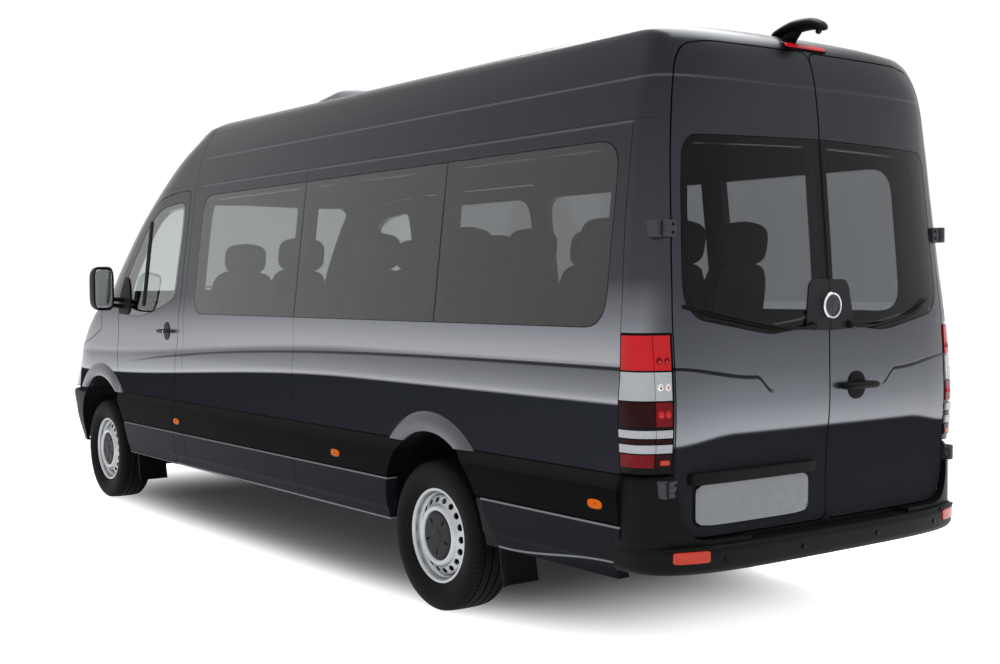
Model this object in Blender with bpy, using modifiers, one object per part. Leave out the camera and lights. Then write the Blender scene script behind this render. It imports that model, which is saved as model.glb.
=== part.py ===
"""Long-wheelbase high-roof passenger van, as an assembly of separate solids.

Frame: +X forward, +Y left, +Z up, metres.  The origin is on the ground, halfway along the van.
The body is one lofted skin: a stack of plan rings, each a rounded nose, straight sides and a bowed
tail.  A shell between two insets of that skin is split into doors, panels, bonnet and lamps by
prisms, so that every panel follows the same surface.
"""

import math

import bmesh
import bpy
import numpy as np
from mathutils import Matrix, Vector

# ---------------------------------------------------------------- driving dimensions
NAME = "passenger_van"
WHEELBASE = 4.325
REAR_AXLE_X = -1.8565
FRONT_AXLE_X = REAR_AXLE_X + WHEELBASE
TYRE_RADIUS = 0.356
TYRE_WIDTH = 0.235
RIM_RADIUS = 0.2207          # at the rim flange
RIM_WIDTH = 0.180
WHEEL_Y = 0.858              # centre plane of every tyre
AXLE_Z = TYRE_RADIUS         # tyres stand on the ground
KINGPIN_Y = 0.740

WALL = 0.055                 # doors, side walls and roof, outer skin to inner trim
WING_WALL = 0.020            # wings are one thick skin
BONNET_WALL = 0.040
GLASS = 0.006
PANE_EDGE = 0.030            # how far a pane laps over its opening
PANE_GAP = 0.004             # joint around a bonded pane
FIT = 0.0003                 # between pieces that touch
SEAM = 0.0006                # between fixed panels
DOOR_GAP = 0.007             # around doors and the bonnet

SILL_Z = 0.376
FLOOR_TOP = 0.680
FLOOR_THICK = 0.050
ROOF_SPLIT_Z = 2.185         # roof panel above, walls below
B_SEAM_X = 1.000             # side panel behind, cab in front
COWL_Z = 1.420               # windscreen frame above, bonnet below

# Body rings, bottom to top.  z: height; w: half width; rear_s, rear, rear_n: where the side ends,
# how far back the middle of the tail reaches, and the exponent of the curve between them;
# front_s, front, front_n: the same at the nose; lift: how much of an inset goes downwards.
RING_COLUMNS = ("z", "w", "rear_s", "rear", "rear_n", "front_s", "front", "front_n", "lift")
RINGS = (
    (0.376, 0.955, -3.200, -3.380, 4.0, 2.50, 3.420, 3.8, 0.0),
    (0.610, 0.990, -3.200, -3.383, 4.0, 2.60, 3.4725, 3.8, 0.0),
    (0.740, 0.9965, -3.200, -3.384, 4.0, 2.60, 3.458, 4.2, 0.0),
    (0.800, 0.988, -3.200, -3.386, 4.0, 2.60, 3.450, 3.8, 0.0),
    (1.065, 0.9965, -3.200, -3.407, 3.6, 2.60, 3.380, 2.8, 0.0),
    (1.185, 0.986, -3.200, -3.406, 3.5, 2.55, 3.290, 2.8, 0.0),
    (1.370, 0.980, -3.195, -3.403, 3.2, 2.42, 3.040, 2.5, 0.0),
    (1.415, 0.975, -3.193, -3.400, 3.2, 2.20, 2.930, 2.5, 0.0),
    (1.440, 0.971, -3.190, -3.399, 3.2, 2.15, 2.880, 2.6, 0.0),
    (1.627, 0.949, -3.185, -3.388, 3.0, 1.95, 2.700, 2.8, 0.0),
    (1.936, 0.910, -3.170, -3.363, 3.1, 1.70, 2.360, 2.6, 0.0),
    (2.117, 0.887, -3.155, -3.349, 3.3, 1.45, 2.120, 2.7, 0.0),
    (2.190, 0.876, -3.140, -3.344, 3.5, 1.36, 2.000, 2.7, 0.0),
    (2.365, 0.839, -3.120, -3.323, 4.2, 1.15, 1.720, 2.6, 0.3),
    (2.496, 0.793, -3.080, -3.284, 4.6, 0.97, 1.450, 2.5, 0.7),
    (2.549, 0.766, -3.050, -3.250, 4.0, 0.90, 1.350, 2.5, 0.9),
    (2.576, 0.726, -2.980, -3.200, 3.2, 0.80, 1.250, 2.5, 1.0),
    (2.610, 0.520, -2.850, -3.080, 2.8, 0.70, 1.080, 2.4, 1.0),
    (2.640, 0.250, -2.700, -2.900, 2.6, 0.60, 0.900, 2.4, 1.0),
)
REAR_STEPS, FRONT_STEPS = 6, 7
LEAN = 1.35                  # a sloped nose or screen is this much thicker along X

# wheel openings in the walls: half width, and height of the top of the opening
REAR_ARCH = (0.405, 0.852)
FRONT_ARCH = (0.462, 0.893)
FLARE_WIDTH = 0.095
FLARE_PROUD = 0.014
FLARE_LOW_Z = 0.793          # the black side mouldings take over below
FLAP = {"x": -2.372, "thick": 0.006, "y": (0.770, 0.945), "low_z": 0.170, "top_z": 0.400}
ARCH_STEPS = 14
REAR_HOUSE_Y = 0.600         # inner walls of the wheelhouses
FRONT_HOUSE_Y = 0.490
HOUSE_WALL = 0.012
HOUSE_BASE_Z = 0.420

# ---------------------------------------------------------------- outlines (x, z) or (y, z)
DOOR_FRONT_X = 2.128
DOOR_SILL_Z = 0.388
CAB_DOOR = ((1.178, DOOR_SILL_Z), (DOOR_FRONT_X, DOOR_SILL_Z), (DOOR_FRONT_X, 1.500), (1.984, 1.755),
            (1.800, 1.962), (1.641, 2.085), (1.500, 2.130), (1.300, 2.150), (1.066, 2.158),
            (1.066, 1.500), (1.090, 1.180), (1.149, 0.810))
CAB_DOOR_PANE = ((1.155, 1.480), (1.290, 1.425), (1.500, 1.375), (1.760, 1.335), (2.030, 1.350),
                 (2.060, 1.420), (2.040, 1.560), (1.900, 1.740), (1.740, 1.920), (1.620, 2.015),
                 (1.480, 2.065), (1.190, 2.085), (1.135, 2.060), (1.125, 1.900))
SLIDE_FRONT_X, SLIDE_REAR_X = 0.988, -0.352
SLIDE_TOP_Z = 2.165
SIDE_PANE = {"top": 2.110, "bottom": 1.368, "corner": 0.085}
SIDE_PANE_FRONT_X, SIDE_PANE_REAR_X = 0.845, -3.095
SIDE_SPLIT_X, SIDE_PANE_SPLIT_X = -0.500, -1.885
PILLAR_WIDTH = 0.150         # of the posts behind the panes
REAR_DOOR_Z = (0.545, 2.506)
REAR_DOOR_Y = 0.0045         # inner edge, beside the joint between the two doors
REAR_JAMB_X = -3.190         # the door opening reaches this far forward in the corner posts
REAR_DOOR = ((REAR_DOOR_Y, REAR_DOOR_Z[0]), (0.800, REAR_DOOR_Z[0]), (0.852, 0.575), (0.868, 0.640),
             (0.868, 1.400), (0.858, 1.750), (0.835, 2.050), (0.802, 2.300), (0.775, 2.410),
             (0.720, 2.480), (0.600, 2.502), (REAR_DOOR_Y, REAR_DOOR_Z[1]))
REAR_PANE = ((0.009, 1.395), (0.120, 1.360), (0.360, 1.332), (0.760, 1.400), (0.815, 1.470),
             (0.815, 1.600), (0.802, 1.900), (0.785, 2.070), (0.745, 2.120), (0.009, 2.135))
SCREEN = ((-0.900, 1.475), (0.900, 1.475), (0.885, 1.600), (0.800, 2.090), (0.740, 2.150), (0.0, 2.165),
          (-0.740, 2.150), (-0.800, 2.090), (-0.885, 1.600))

BONNET_REAR_X = 2.472
BONNET_LINE = ((BONNET_REAR_X, 1.236), (2.663, 1.167), (2.950, 1.092), (3.200, 1.052), (3.600, 1.030))
LAMP_REAR_X = 2.960
LAMP_INNER_Y = 0.520
BUMPER_TOP_Z = 0.755
BUMPER_REAR_X = 2.700
TAIL_LAMP = {"front_x": -3.190, "inner_y": 0.880, "low_z": 0.802, "high_z": 1.345}
REAR_BUMPER = {"front_x": -3.150, "low_z": 0.412, "high_z": 0.522, "corner_z": 0.798, "corner_y": 0.8806,
               "back_x": -3.4725, "width": RINGS[1][1] - 0.002, "thick": 0.100}

parts = bpy.data.collections.new(NAME)
cutters = bpy.data.collections.new("cutters")


# ---------------------------------------------------------------- scene and material helpers
def clear_scene():
    for thing in list(bpy.data.objects):
        bpy.data.objects.remove(thing, do_unlink=True)
    bpy.context.scene.collection.children.link(parts)
    bpy.context.scene.collection.children.link(cutters)


def material(name, colour, rough=0.5, metal=0.0, alpha=1.0):
    made = bpy.data.materials.get(name)
    if made is None:
        made = bpy.data.materials.new(name)
        made.use_nodes = True
        shader = made.node_tree.nodes["Principled BSDF"]
        shader.inputs["Base Color"].default_value = (*colour, 1.0)
        shader.inputs["Roughness"].default_value = rough
        shader.inputs["Metallic"].default_value = metal
        shader.inputs["Alpha"].default_value = alpha
    return made


PAINT = dict(name="grey_metallic_paint", colour=(0.075, 0.078, 0.085), rough=0.3, metal=0.6)
BLACK = dict(name="black_plastic", colour=(0.012, 0.012, 0.012), rough=0.6)
TINTED = dict(name="tinted_glass", colour=(0.02, 0.02, 0.022), rough=0.05, alpha=0.5)
STEEL = dict(name="silver_steel", colour=(0.5, 0.5, 0.52), rough=0.4, metal=0.9)
IRON = dict(name="black_iron", colour=(0.03, 0.03, 0.03), rough=0.7, metal=0.5)
RUBBER = dict(name="tyre_rubber", colour=(0.012, 0.012, 0.012), rough=0.85)
CLOTH = dict(name="seat_fabric", colour=(0.04, 0.04, 0.045), rough=0.9)
RED = dict(name="red_lens", colour=(0.5, 0.01, 0.01), rough=0.15)
CLEAR = dict(name="clear_lens", colour=(0.7, 0.7, 0.72), rough=0.1, alpha=0.6)
PALE = dict(name="pale_grey_plastic", colour=(0.45, 0.46, 0.47), rough=0.5)


def finish(thing, name, look):
    """Names a solid, gives it its material and moves it into the van's collection."""
    thing.name = name
    thing.data.name = name
    thing.data.materials.clear()
    thing.data.materials.append(material(**look))
    thing.hide_render = False
    thing.display_type = "TEXTURED"
    for home in list(thing.users_collection):
        home.objects.unlink(thing)
    parts.objects.link(thing)
    return thing


def as_cutter(thing):
    thing.hide_render = True
    thing.display_type = "WIRE"
    return thing


def from_bmesh(name, mesh_builder):
    bmesh.ops.recalc_face_normals(mesh_builder, faces=mesh_builder.faces)
    mesh = bpy.data.meshes.new(name)
    mesh_builder.to_mesh(mesh)
    mesh_builder.free()
    thing = bpy.data.objects.new(name, mesh)
    cutters.objects.link(thing)
    return as_cutter(thing)


def box(lo, hi, bevel=0.0):
    shape = bmesh.new()
    bmesh.ops.create_cube(shape, size=1.0)
    for corner in shape.verts:
        corner.co = [(a + b) / 2 + (b - a) * c for a, b, c in zip(lo, hi, corner.co)]
    if bevel:
        bmesh.ops.bevel(shape, geom=shape.edges[:], offset=bevel, segments=1, affect="EDGES")
    return from_bmesh("box", shape)


def prism(outline, axis, lo, hi):
    """A flat outline pushed along one axis: (x, z) along y, (y, z) along x, (x, y) along z."""
    shape = bmesh.new()
    places = {"x": lambda a, b: (lo, a, b), "y": lambda a, b: (a, lo, b), "z": lambda a, b: (a, b, lo)}
    face = shape.faces.new([shape.verts.new(places[axis](a, b)) for a, b in outline])
    pushed = bmesh.ops.extrude_face_region(shape, geom=[face])
    shift = {"x": (hi - lo, 0, 0), "y": (0, hi - lo, 0), "z": (0, 0, hi - lo)}[axis]
    moved = [item for item in pushed["geom"] if isinstance(item, bmesh.types.BMVert)]
    bmesh.ops.translate(shape, vec=shift, verts=moved)
    return from_bmesh("prism", shape)


def cylinder(radius, length, centre, axis="y", steps=24, inner_radius=None):
    shape = bmesh.new()
    bmesh.ops.create_cone(shape, cap_ends=True, segments=steps, radius1=radius,
                          radius2=radius if inner_radius is None else inner_radius, depth=length)
    for corner in shape.verts:
        a, b, c = corner.co
        turned = {"x": (c, a, b), "y": (a, c, b), "z": (a, b, c)}[axis]
        corner.co = [p + q for p, q in zip(turned, centre)]
    return from_bmesh("cylinder", shape)


def turned(profile, centre, steps):
    """A closed (radius, y) profile turned about the Y axis through centre."""
    mesh = bpy.data.meshes.new("profile")
    count = len(profile)
    edges = [(k, (k + 1) % count) for k in range(count)]
    mesh.from_pydata([(radius, across, 0.0) for radius, across in profile], edges, [])
    thing = bpy.data.objects.new("turned", mesh)
    cutters.objects.link(thing)
    screw = thing.modifiers.new("Screw", "SCREW")
    screw.axis = "Y"
    screw.angle = math.tau
    screw.steps = steps
    screw.render_steps = steps
    screw.use_merge_vertices = True
    screw.merge_threshold = 0.00005
    screw.use_normal_calculate = True
    solid = applied(thing)
    solid.location = centre
    bpy.context.view_layer.update()
    solid.data.transform(solid.matrix_world)
    solid.location = (0, 0, 0)
    shape = bmesh.new()
    shape.from_mesh(solid.data)
    bmesh.ops.recalc_face_normals(shape, faces=shape.faces)
    shape.to_mesh(solid.data)
    shape.free()
    return solid


def applied(thing):
    """The object with its modifiers made real."""
    graph = bpy.context.evaluated_depsgraph_get()
    mesh = bpy.data.meshes.new_from_object(thing.evaluated_get(graph))
    thing.modifiers.clear()
    thing.data = mesh
    return thing


def copy_of(thing):
    twin = thing.copy()
    twin.data = thing.data.copy()
    cutters.objects.link(twin)
    return as_cutter(twin)


def combine(thing, other, how, keep=False):
    change = thing.modifiers.new(how.title(), "BOOLEAN")
    change.operation = how
    change.object = other
    change.solver = "EXACT"
    applied(thing)
    if not keep:
        bpy.data.objects.remove(other, do_unlink=True)
    return thing


def cut(thing, other, keep=False):
    return combine(thing, other, "DIFFERENCE", keep)


def common(thing, other, keep=False):
    return combine(thing, other, "INTERSECT", keep)


def fuse(thing, *others):
    for other in others:
        combine(thing, other, "UNION")
    return thing


def grown(outline, gap):
    """A counter-clockwise or clockwise outline moved outwards by gap, corners mitred."""
    points = np.array(outline, float)
    before = points - np.roll(points, 1, axis=0)
    after = np.roll(points, -1, axis=0) - points
    before /= np.linalg.norm(before, axis=1)[:, None]
    after /= np.linalg.norm(after, axis=1)[:, None]
    x, y = points[:, 0], points[:, 1]
    turn = np.sign(np.sum(x * np.roll(y, -1) - y * np.roll(x, -1)))
    normal = lambda d: turn * np.column_stack((d[:, 1], -d[:, 0]))
    middle = normal(before) + normal(after)
    middle /= np.sum(middle * normal(before), axis=1)[:, None]
    return points + gap * middle


def rounded_box(x0, x1, z0, z1, radius, steps=3):
    """Outline of a rectangle with round corners, counter-clockwise."""
    outline = []
    for cx, cz, start in ((x1 - radius, z0 + radius, -90), (x1 - radius, z1 - radius, 0),
                          (x0 + radius, z1 - radius, 90), (x0 + radius, z0 + radius, 180)):
        for k in range(steps + 1):
            angle = math.radians(start + 90 * k / steps)
            outline.append((cx + radius * math.cos(angle), cz + radius * math.sin(angle)))
    return outline


def mirrored(outline):
    return [(-a, b) for a, b in outline]


# ---------------------------------------------------------------- the body skin
TABLE = np.array(RINGS)


def ring_at(z):
    """Every column of the ring table at height z."""
    return {name: float(np.interp(z, TABLE[:, 0], TABLE[:, k])) for k, name in enumerate(RING_COLUMNS)}


def half_ring(row, inset):
    """(x, y) from the middle of the tail to the middle of the nose, on the left side."""
    side_inset = inset * math.sqrt(1.0 - row["lift"] ** 2)
    w = row["w"] - side_inset
    rear, front = row["rear"] + side_inset, row["front"] - inset * LEAN * (1.0 - 0.5 * row["lift"])
    rear_s, front_s = row["rear_s"], row["front_s"]
    points = []
    for k in range(REAR_STEPS + 1):
        angle = math.pi / 2 * k / REAR_STEPS
        power = 2.0 / row["rear_n"]
        points.append((rear_s + (rear - rear_s) * max(math.cos(angle), 0.0) ** power,
                       w * math.sin(angle) ** power))
    for k in range(FRONT_STEPS + 1):
        angle = math.pi / 2 * (1.0 - k / FRONT_STEPS)
        power = 2.0 / row["front_n"]
        points.append((front_s + (front - front_s) * max(math.cos(angle), 0.0) ** power,
                       w * math.sin(angle) ** power))
    return points


def body_loft(inset, low=None, high=None):
    """The closed body between two heights, its skin moved inwards by inset."""
    heights = [z for z in TABLE[:, 0] if (low is None or z > low + 0.004) and (high is None or z < high - 0.004)]
    heights = ([low] if low is not None else []) + heights + ([high] if high is not None else [])
    shape = bmesh.new()
    rings = []
    for z in heights:
        row = ring_at(z)
        half = half_ring(row, inset)
        full = half + [(x, -y) for x, y in half[-2:0:-1]]
        level = z - inset * row["lift"]
        rings.append([shape.verts.new((x, y, level)) for x, y in full])
    for lower, upper in zip(rings, rings[1:]):
        for k in range(len(lower)):
            n = (k + 1) % len(lower)
            shape.faces.new((lower[k], lower[n], upper[n], upper[k]))
    shape.faces.new(rings[0][::-1])
    shape.faces.new(rings[-1])
    bmesh.ops.triangulate(shape, faces=shape.faces)
    return from_bmesh("loft", shape)


def skin_y(x, z, inset=0.0):
    """Half width of the body at one place along it."""
    half = np.array(half_ring(ring_at(z), inset))
    return float(np.interp(x, half[:, 0], half[:, 1]))


def arch(centre_x, size, grow=0.0, base=0.0, steps=ARCH_STEPS):
    """Outline of a wheel opening: straight sides and a round top."""
    radius = size[0] + grow
    top = size[1] - size[0]
    points = [(centre_x + radius, base)]
    for k in range(steps + 1):
        angle = math.pi * k / steps
        points.append((centre_x + radius * math.cos(angle), top + radius * math.sin(angle)))
    return points + [(centre_x - radius, base)]


OUT = 1.4                    # beyond every surface of the body


def side_span(side, inner=0.62):
    return (inner, OUT) if side > 0 else (-OUT, -inner)


# ---------------------------------------------------------------- shell and panels
def flare(centre_x, size, side, front=None):
    """The raised lip around a wheel opening, sunk into the wall that carries it."""
    lip = cut(body_loft(-FLARE_PROUD, low=0.60, high=1.15), body_loft(WING_WALL / 2, low=0.50, high=1.25))
    ring = prism(arch(centre_x, size, FLARE_WIDTH), "y", *side_span(side))
    cut(ring, prism(arch(centre_x, size, 0.0015, -0.1), "y", *side_span(side, 0.5)))
    common(lip, ring)
    low_x = centre_x - 1.0 if front is None else front
    return common(lip, box((low_x, -OUT, FLARE_LOW_Z), (centre_x + 1.0, OUT, 1.3)))


def build_shell():
    shell = body_loft(0.0)
    inner = body_loft(WALL, low=0.25)
    return cut(shell, inner)


def take(shell, outline, axis, lo, hi, gap):
    """Cuts a prism out of the shell; the piece keeps a gap all round to what is left."""
    piece = common(copy_of(shell), prism(outline, axis, lo, hi))
    cut(shell, prism(grown(outline, gap), axis, lo, hi))
    return piece


def glaze(panel, skin, outline, axis, lo, hi, posts=()):
    """Opens a window in a panel, and gives the pane bonded over it."""
    pane = common(copy_of(skin["pane"]), prism(outline, axis, lo, hi))
    recess = common(copy_of(skin["recess"]), prism(grown(outline, PANE_GAP), axis, lo, hi))
    cut(panel, recess)
    hole = prism(grown(outline, -PANE_EDGE), axis, lo, hi)
    for x in posts:
        cut(hole, box((x - PILLAR_WIDTH / 2, -OUT, 0.0), (x + PILLAR_WIDTH / 2, OUT, 3.0)))
    cut(panel, hole)
    return pane


def build_skins():
    pane = cut(body_loft(0.0), body_loft(GLASS, low=0.25))
    recess = cut(body_loft(-0.05, low=0.30), body_loft(GLASS + FIT, low=0.25))
    return {"pane": pane, "recess": recess}


def build_body():
    """Splits the shell into its panels, doors, lamps and panes."""
    shell = build_shell()
    skin = build_skins()
    cut(shell, prism(arch(REAR_AXLE_X, REAR_ARCH), "y", -OUT, OUT))
    cut(shell, prism(arch(FRONT_AXLE_X, FRONT_ARCH), "y", -OUT, OUT))
    build_tail(shell, skin)
    build_nose(shell)
    for side, label in ((1, "left"), (-1, "right")):
        low, high = side_span(side)
        door = take(shell, CAB_DOOR, "y", low, high, DOOR_GAP)
        cut(door, hinge_scoop(side))
        pane = glaze(door, skin, CAB_DOOR_PANE, "y", low, high)
        for z in CAB_HINGES_Z:
            fuse(door, cab_hinge_arm(side, z))
        finish(door, f"front_door_{label}", PAINT)
        finish(pane, f"front_door_glass_{label}", TINTED)
    slide = [(SLIDE_FRONT_X, DOOR_SILL_Z), (SLIDE_FRONT_X, SLIDE_TOP_Z),
             (SLIDE_REAR_X, SLIDE_TOP_Z), (SLIDE_REAR_X, DOOR_SILL_Z)]
    door = take(shell, slide, "y", *side_span(-1), DOOR_GAP)
    pane = SIDE_PANE
    outline = rounded_box(SLIDE_REAR_X + 0.045, SIDE_PANE_FRONT_X, pane["bottom"], pane["top"], pane["corner"])
    finish(glaze(door, skin, outline, "y", *side_span(-1)), "sliding_door_glass", TINTED)
    finish(door, "sliding_door", PAINT)

    roof = common(copy_of(shell), box((-4, -OUT, ROOF_SPLIT_Z + SEAM), (4, OUT, 3.0)))
    cut(shell, box((-4, -OUT, ROOF_SPLIT_Z), (4, OUT, 3.0)))
    finish(roof, "roof_panel", PAINT)

    for side, label in ((1, "left"), (-1, "right")):
        low, high = side_span(side, 0.0001)
        panel = common(copy_of(shell), box((-4, low, 0.0), (B_SEAM_X - SEAM, high, 3.0)))
        front = SIDE_PANE_FRONT_X if side > 0 else SLIDE_REAR_X - 0.055
        outline = rounded_box(SIDE_PANE_REAR_X, front, pane["bottom"], pane["top"], pane["corner"])
        posts = (SIDE_SPLIT_X, SIDE_PANE_SPLIT_X) if side > 0 else (SIDE_PANE_SPLIT_X,)
        glass = glaze(panel, skin, outline, "y", *side_span(side), posts)
        finish(glass, f"side_glass_{label}", TINTED)
        fuse(panel, flare(REAR_AXLE_X, REAR_ARCH, side))
        low, high = sorted(side * y for y in FLAP["y"])
        fuse(panel, box((FLAP["x"] - FLAP["thick"], low, FLAP["low_z"]), (FLAP["x"], high, FLAP["top_z"])))
        finish(panel, f"side_panel_{label}", PAINT)

    cab = common(shell, box((B_SEAM_X, -OUT, 0.0), (4.0, OUT, 3.0)))
    screen = glaze(cab, skin, SCREEN, "x", 1.35, 3.4)
    finish(screen, "windscreen", TINTED)
    tray = common(body_loft(WALL / 2, low=COWL_Z, high=COWL_Z + 0.022), box((2.16, -OUT, 0.0), (4.0, OUT, 3.0)))
    fuse(cab, tray)
    for side in (1, -1):
        cut(cab, bonnet_hinge_box(side, (-0.017, 0.849, 0.0), (0.023, 0.960, 0.0135)))
        fuse(cab, bonnet_hinge_box(side, (-0.008, 0.838, -0.008), (0.008, 0.850, 0.022)))
        fuse(cab, cylinder(BONNET_PIN, 0.042, (BONNET_REAR_X, side * 0.864, BONNET_HINGE_Z), steps=12))
    finish(cab, "cab_frame", PAINT)


def build_tail(shell, skin):
    """Tail lamps, rear doors and the space that the rear bumper fills."""
    bumper, lamp = REAR_BUMPER, TAIL_LAMP
    cut(shell, box((-4.0, -OUT, 0.0), (bumper["front_x"] + SEAM, OUT, REAR_DOOR_Z[0] - DOOR_GAP / 2)))
    for side, label in ((1, "left"), (-1, "right")):
        low, high = side_span(side, lamp["inner_y"])
        cut(shell, box((-4.0, low, 0.0), (lamp["front_x"] + SEAM, high, lamp["low_z"])))
        outline = [(-4.0, lamp["low_z"] + SEAM), (lamp["front_x"], lamp["low_z"] + SEAM),
                   (lamp["front_x"], lamp["high_z"]), (-4.0, lamp["high_z"])]
        finish(take(shell, outline, "y", low, high, SEAM), f"tail_lamp_{label}", RED)
    for side, label in ((1, "left"), (-1, "right")):
        outline = REAR_DOOR if side > 0 else mirrored(REAR_DOOR)
        door = common(copy_of(shell), prism(outline, "x", -4.0, REAR_JAMB_X - DOOR_GAP))
        cut(shell, prism(grown(outline, DOOR_GAP), "x", -4.0, REAR_JAMB_X))
        line = REAR_PANE if side > 0 else mirrored(REAR_PANE)
        finish(glaze(door, skin, line, "x", -4.0, -3.1), f"rear_door_glass_{label}", TINTED)
        for z in REAR_HINGES_Z:
            fuse(door, rear_hinge_leaf(side, z))
            fuse(shell, rear_hinge_pin(side, z))
        finish(door, f"rear_door_{label}", PAINT)


def build_nose(shell):
    """Bonnet, wings, head lamps, grille and front bumper, all from the skin ahead of the doors."""
    front = box((DOOR_FRONT_X + DOOR_GAP, -OUT, 0.0), (4.0, OUT, COWL_Z - SEAM))
    cut(shell, box((DOOR_FRONT_X + DOOR_GAP, -OUT, 0.0), (4.0, OUT, COWL_Z)))
    arches = prism(arch(FRONT_AXLE_X, FRONT_ARCH), "y", -OUT, OUT)

    bonnet_skin = cut(body_loft(0.0), body_loft(BONNET_WALL, low=0.25))
    top = list(BONNET_LINE) + [(3.6, COWL_Z - DOOR_GAP), (BONNET_REAR_X, COWL_Z - DOOR_GAP)]
    bonnet = common(bonnet_skin, prism(top, "y", -OUT, OUT))
    half = half_ring(ring_at(COWL_Z), -DOOR_GAP)
    cut(bonnet, prism(half + [(x, -y) for x, y in half[-2:0:-1]], "z", 1.0, 1.6))
    for side in (1, -1):
        fuse(bonnet, bonnet_hinge_tube(side))
    finish(bonnet, "bonnet", PAINT)

    nose = cut(body_loft(0.0), body_loft(WING_WALL, low=0.25))
    common(nose, front)
    cut(nose, arches)
    cut(nose, prism(grown(top, DOOR_GAP), "y", -OUT, OUT))
    bumper = take(nose, [(BUMPER_REAR_X, 0.0), (4.0, 0.0), (4.0, BUMPER_TOP_Z), (BUMPER_REAR_X, BUMPER_TOP_Z)],
                  "y", -OUT, OUT, SEAM)
    finish(bumper, "front_bumper", PAINT)
    for side, label in ((1, "left"), (-1, "right")):
        low, high = side_span(side, LAMP_INNER_Y)
        outline = [(LAMP_REAR_X, 0.790), (4.0, 0.740), (4.0, 1.2), (LAMP_REAR_X, 1.2)]
        finish(take(nose, outline, "y", low, high, SEAM), f"head_lamp_{label}", CLEAR)
    grille_box = box((LAMP_REAR_X, -LAMP_INNER_Y + SEAM, 0.6), (4.0, LAMP_INNER_Y - SEAM, 1.2))
    finish(common(copy_of(nose), grille_box), "grille", BLACK)
    for side, label in ((1, "left"), (-1, "right")):
        low, high = side_span(side, LAMP_INNER_Y + 0.05)
        wing = common(copy_of(nose), box((2.0, low, 0.0), (LAMP_REAR_X, high, 2.0)))
        lip = flare(FRONT_AXLE_X, FRONT_ARCH, side, CAB_HINGE_X + 0.075)
        cut(lip, prism([(BUMPER_REAR_X - SEAM, 0.0), (4.0, 0.0), (4.0, BUMPER_TOP_Z + SEAM),
                        (BUMPER_REAR_X - SEAM, BUMPER_TOP_Z + SEAM)], "y", -OUT, OUT))
        fuse(wing, lip)
        finish(wing, f"wing_{label}", PAINT)
    bpy.data.objects.remove(nose, do_unlink=True)


# ---------------------------------------------------------------- hinges
CAB_HINGE_X = 2.172
CAB_HINGE_DEPTH = 0.040      # axis inside the skin
CAB_HINGE_Z = (0.850, 1.420) # heights between which the axis runs parallel to the skin
CAB_HINGES_Z = (0.950, 1.280)
CAB_PIN, CAB_EYE = 0.007, 0.0125
REAR_HINGE = ((-3.372, 0.884, 0.749), (-3.330, 0.872, 1.750))    # two points on the left axis
REAR_HINGES_Z = (REAR_HINGE[0][2], REAR_HINGE[1][2])
REAR_PIN, REAR_EYE = 0.006, 0.011
BONNET_HINGE_Z = 1.410
BONNET_PIN, BONNET_EYE = 0.005, 0.009
PIN_GAP = 0.0004
EYE_HALF = 0.020             # half the height of a hinge eye
SWING_GAP = 0.005
SCOOP_TOP_Z = 1.560


def cab_hinge_y(z):
    low, high = CAB_HINGE_Z
    outer, inner = skin_y(2.0, low) - CAB_HINGE_DEPTH, skin_y(2.0, high) - CAB_HINGE_DEPTH
    return outer + (inner - outer) * (z - low) / (high - low)


def hinge_scoop(side):
    """What the wing's rear edge needs free as a cab door swings past it."""
    edge = CAB_HINGE_X - (DOOR_FRONT_X + DOOR_GAP)
    shape = bmesh.new()
    rings = []
    for z in [0.3] + [z for z in TABLE[:, 0] if 0.5 < z < COWL_Z] + [SCOOP_TOP_Z]:
        centre = cab_hinge_y(z)
        radius = math.hypot(edge, skin_y(2.0, max(z, CAB_HINGE_Z[0])) - centre) + SWING_GAP
        rings.append([shape.verts.new((CAB_HINGE_X + radius * math.cos(k * math.tau / 20),
                                       side * (centre + radius * math.sin(k * math.tau / 20)), z))
                      for k in range(20)])
    for lower, upper in zip(rings, rings[1:]):
        for k in range(20):
            n = (k + 1) % 20
            shape.faces.new((lower[k], lower[n], upper[n], upper[k]))
    shape.faces.new(rings[0])
    shape.faces.new(rings[-1])
    bmesh.ops.triangulate(shape, faces=shape.faces)
    return from_bmesh("scoop", shape)


def leant(thing, point, axis):
    """A piece built about the Z axis, turned so that Z follows axis, and moved to point."""
    turn = Vector((0, 0, 1)).rotation_difference(Vector(axis)).to_matrix().to_4x4()
    thing.data.transform(Matrix.Translation(point) @ turn)
    return thing


def eye(outer, bore, half=EYE_HALF):
    return cut(cylinder(outer, 2 * half, (0, 0, 0), "z", 16), cylinder(bore, 3 * half, (0, 0, 0), "z", 16))


def cab_hinge_place(side, z):
    low, high = CAB_HINGE_Z
    slope = (cab_hinge_y(high) - cab_hinge_y(low)) / (high - low)
    return (CAB_HINGE_X, side * cab_hinge_y(z), z), (0, side * slope, 1)


def cab_hinge_arm(side, z):
    """The door's half of a cab door hinge: an eye, and an arm bent round the jamb."""
    line = [(-0.0038, -0.0087), (-0.0345, -0.0400), (-0.0950, -0.0400), (-0.0950, -0.0100),
            (-0.0680, -0.0100), (-0.0680, -0.0340), (-0.0318, -0.0340), (-0.0082, -0.0047)]
    arm = prism([(a, side * b) for a, b in line], "z", -EYE_HALF, EYE_HALF)
    return leant(fuse(eye(CAB_EYE, CAB_PIN + PIN_GAP), arm), *cab_hinge_place(side, z))


def cab_hinge_lug(side, z):
    """The body's half: a pin between two plates that reach out from the bulkhead."""
    pin = cylinder(CAB_PIN, 2 * EYE_HALF + 0.012, (0, 0, 0), "z", 16)
    low, high = sorted((side * -0.056, side * 0.008))
    for end in (1, -1):
        z0, z1 = sorted((end * (EYE_HALF + 2 * PIN_GAP), end * (EYE_HALF + 0.009)))
        fuse(pin, box((-0.009, low, z0), (0.036, high, z1)))
    return leant(pin, *cab_hinge_place(side, z))


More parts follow.
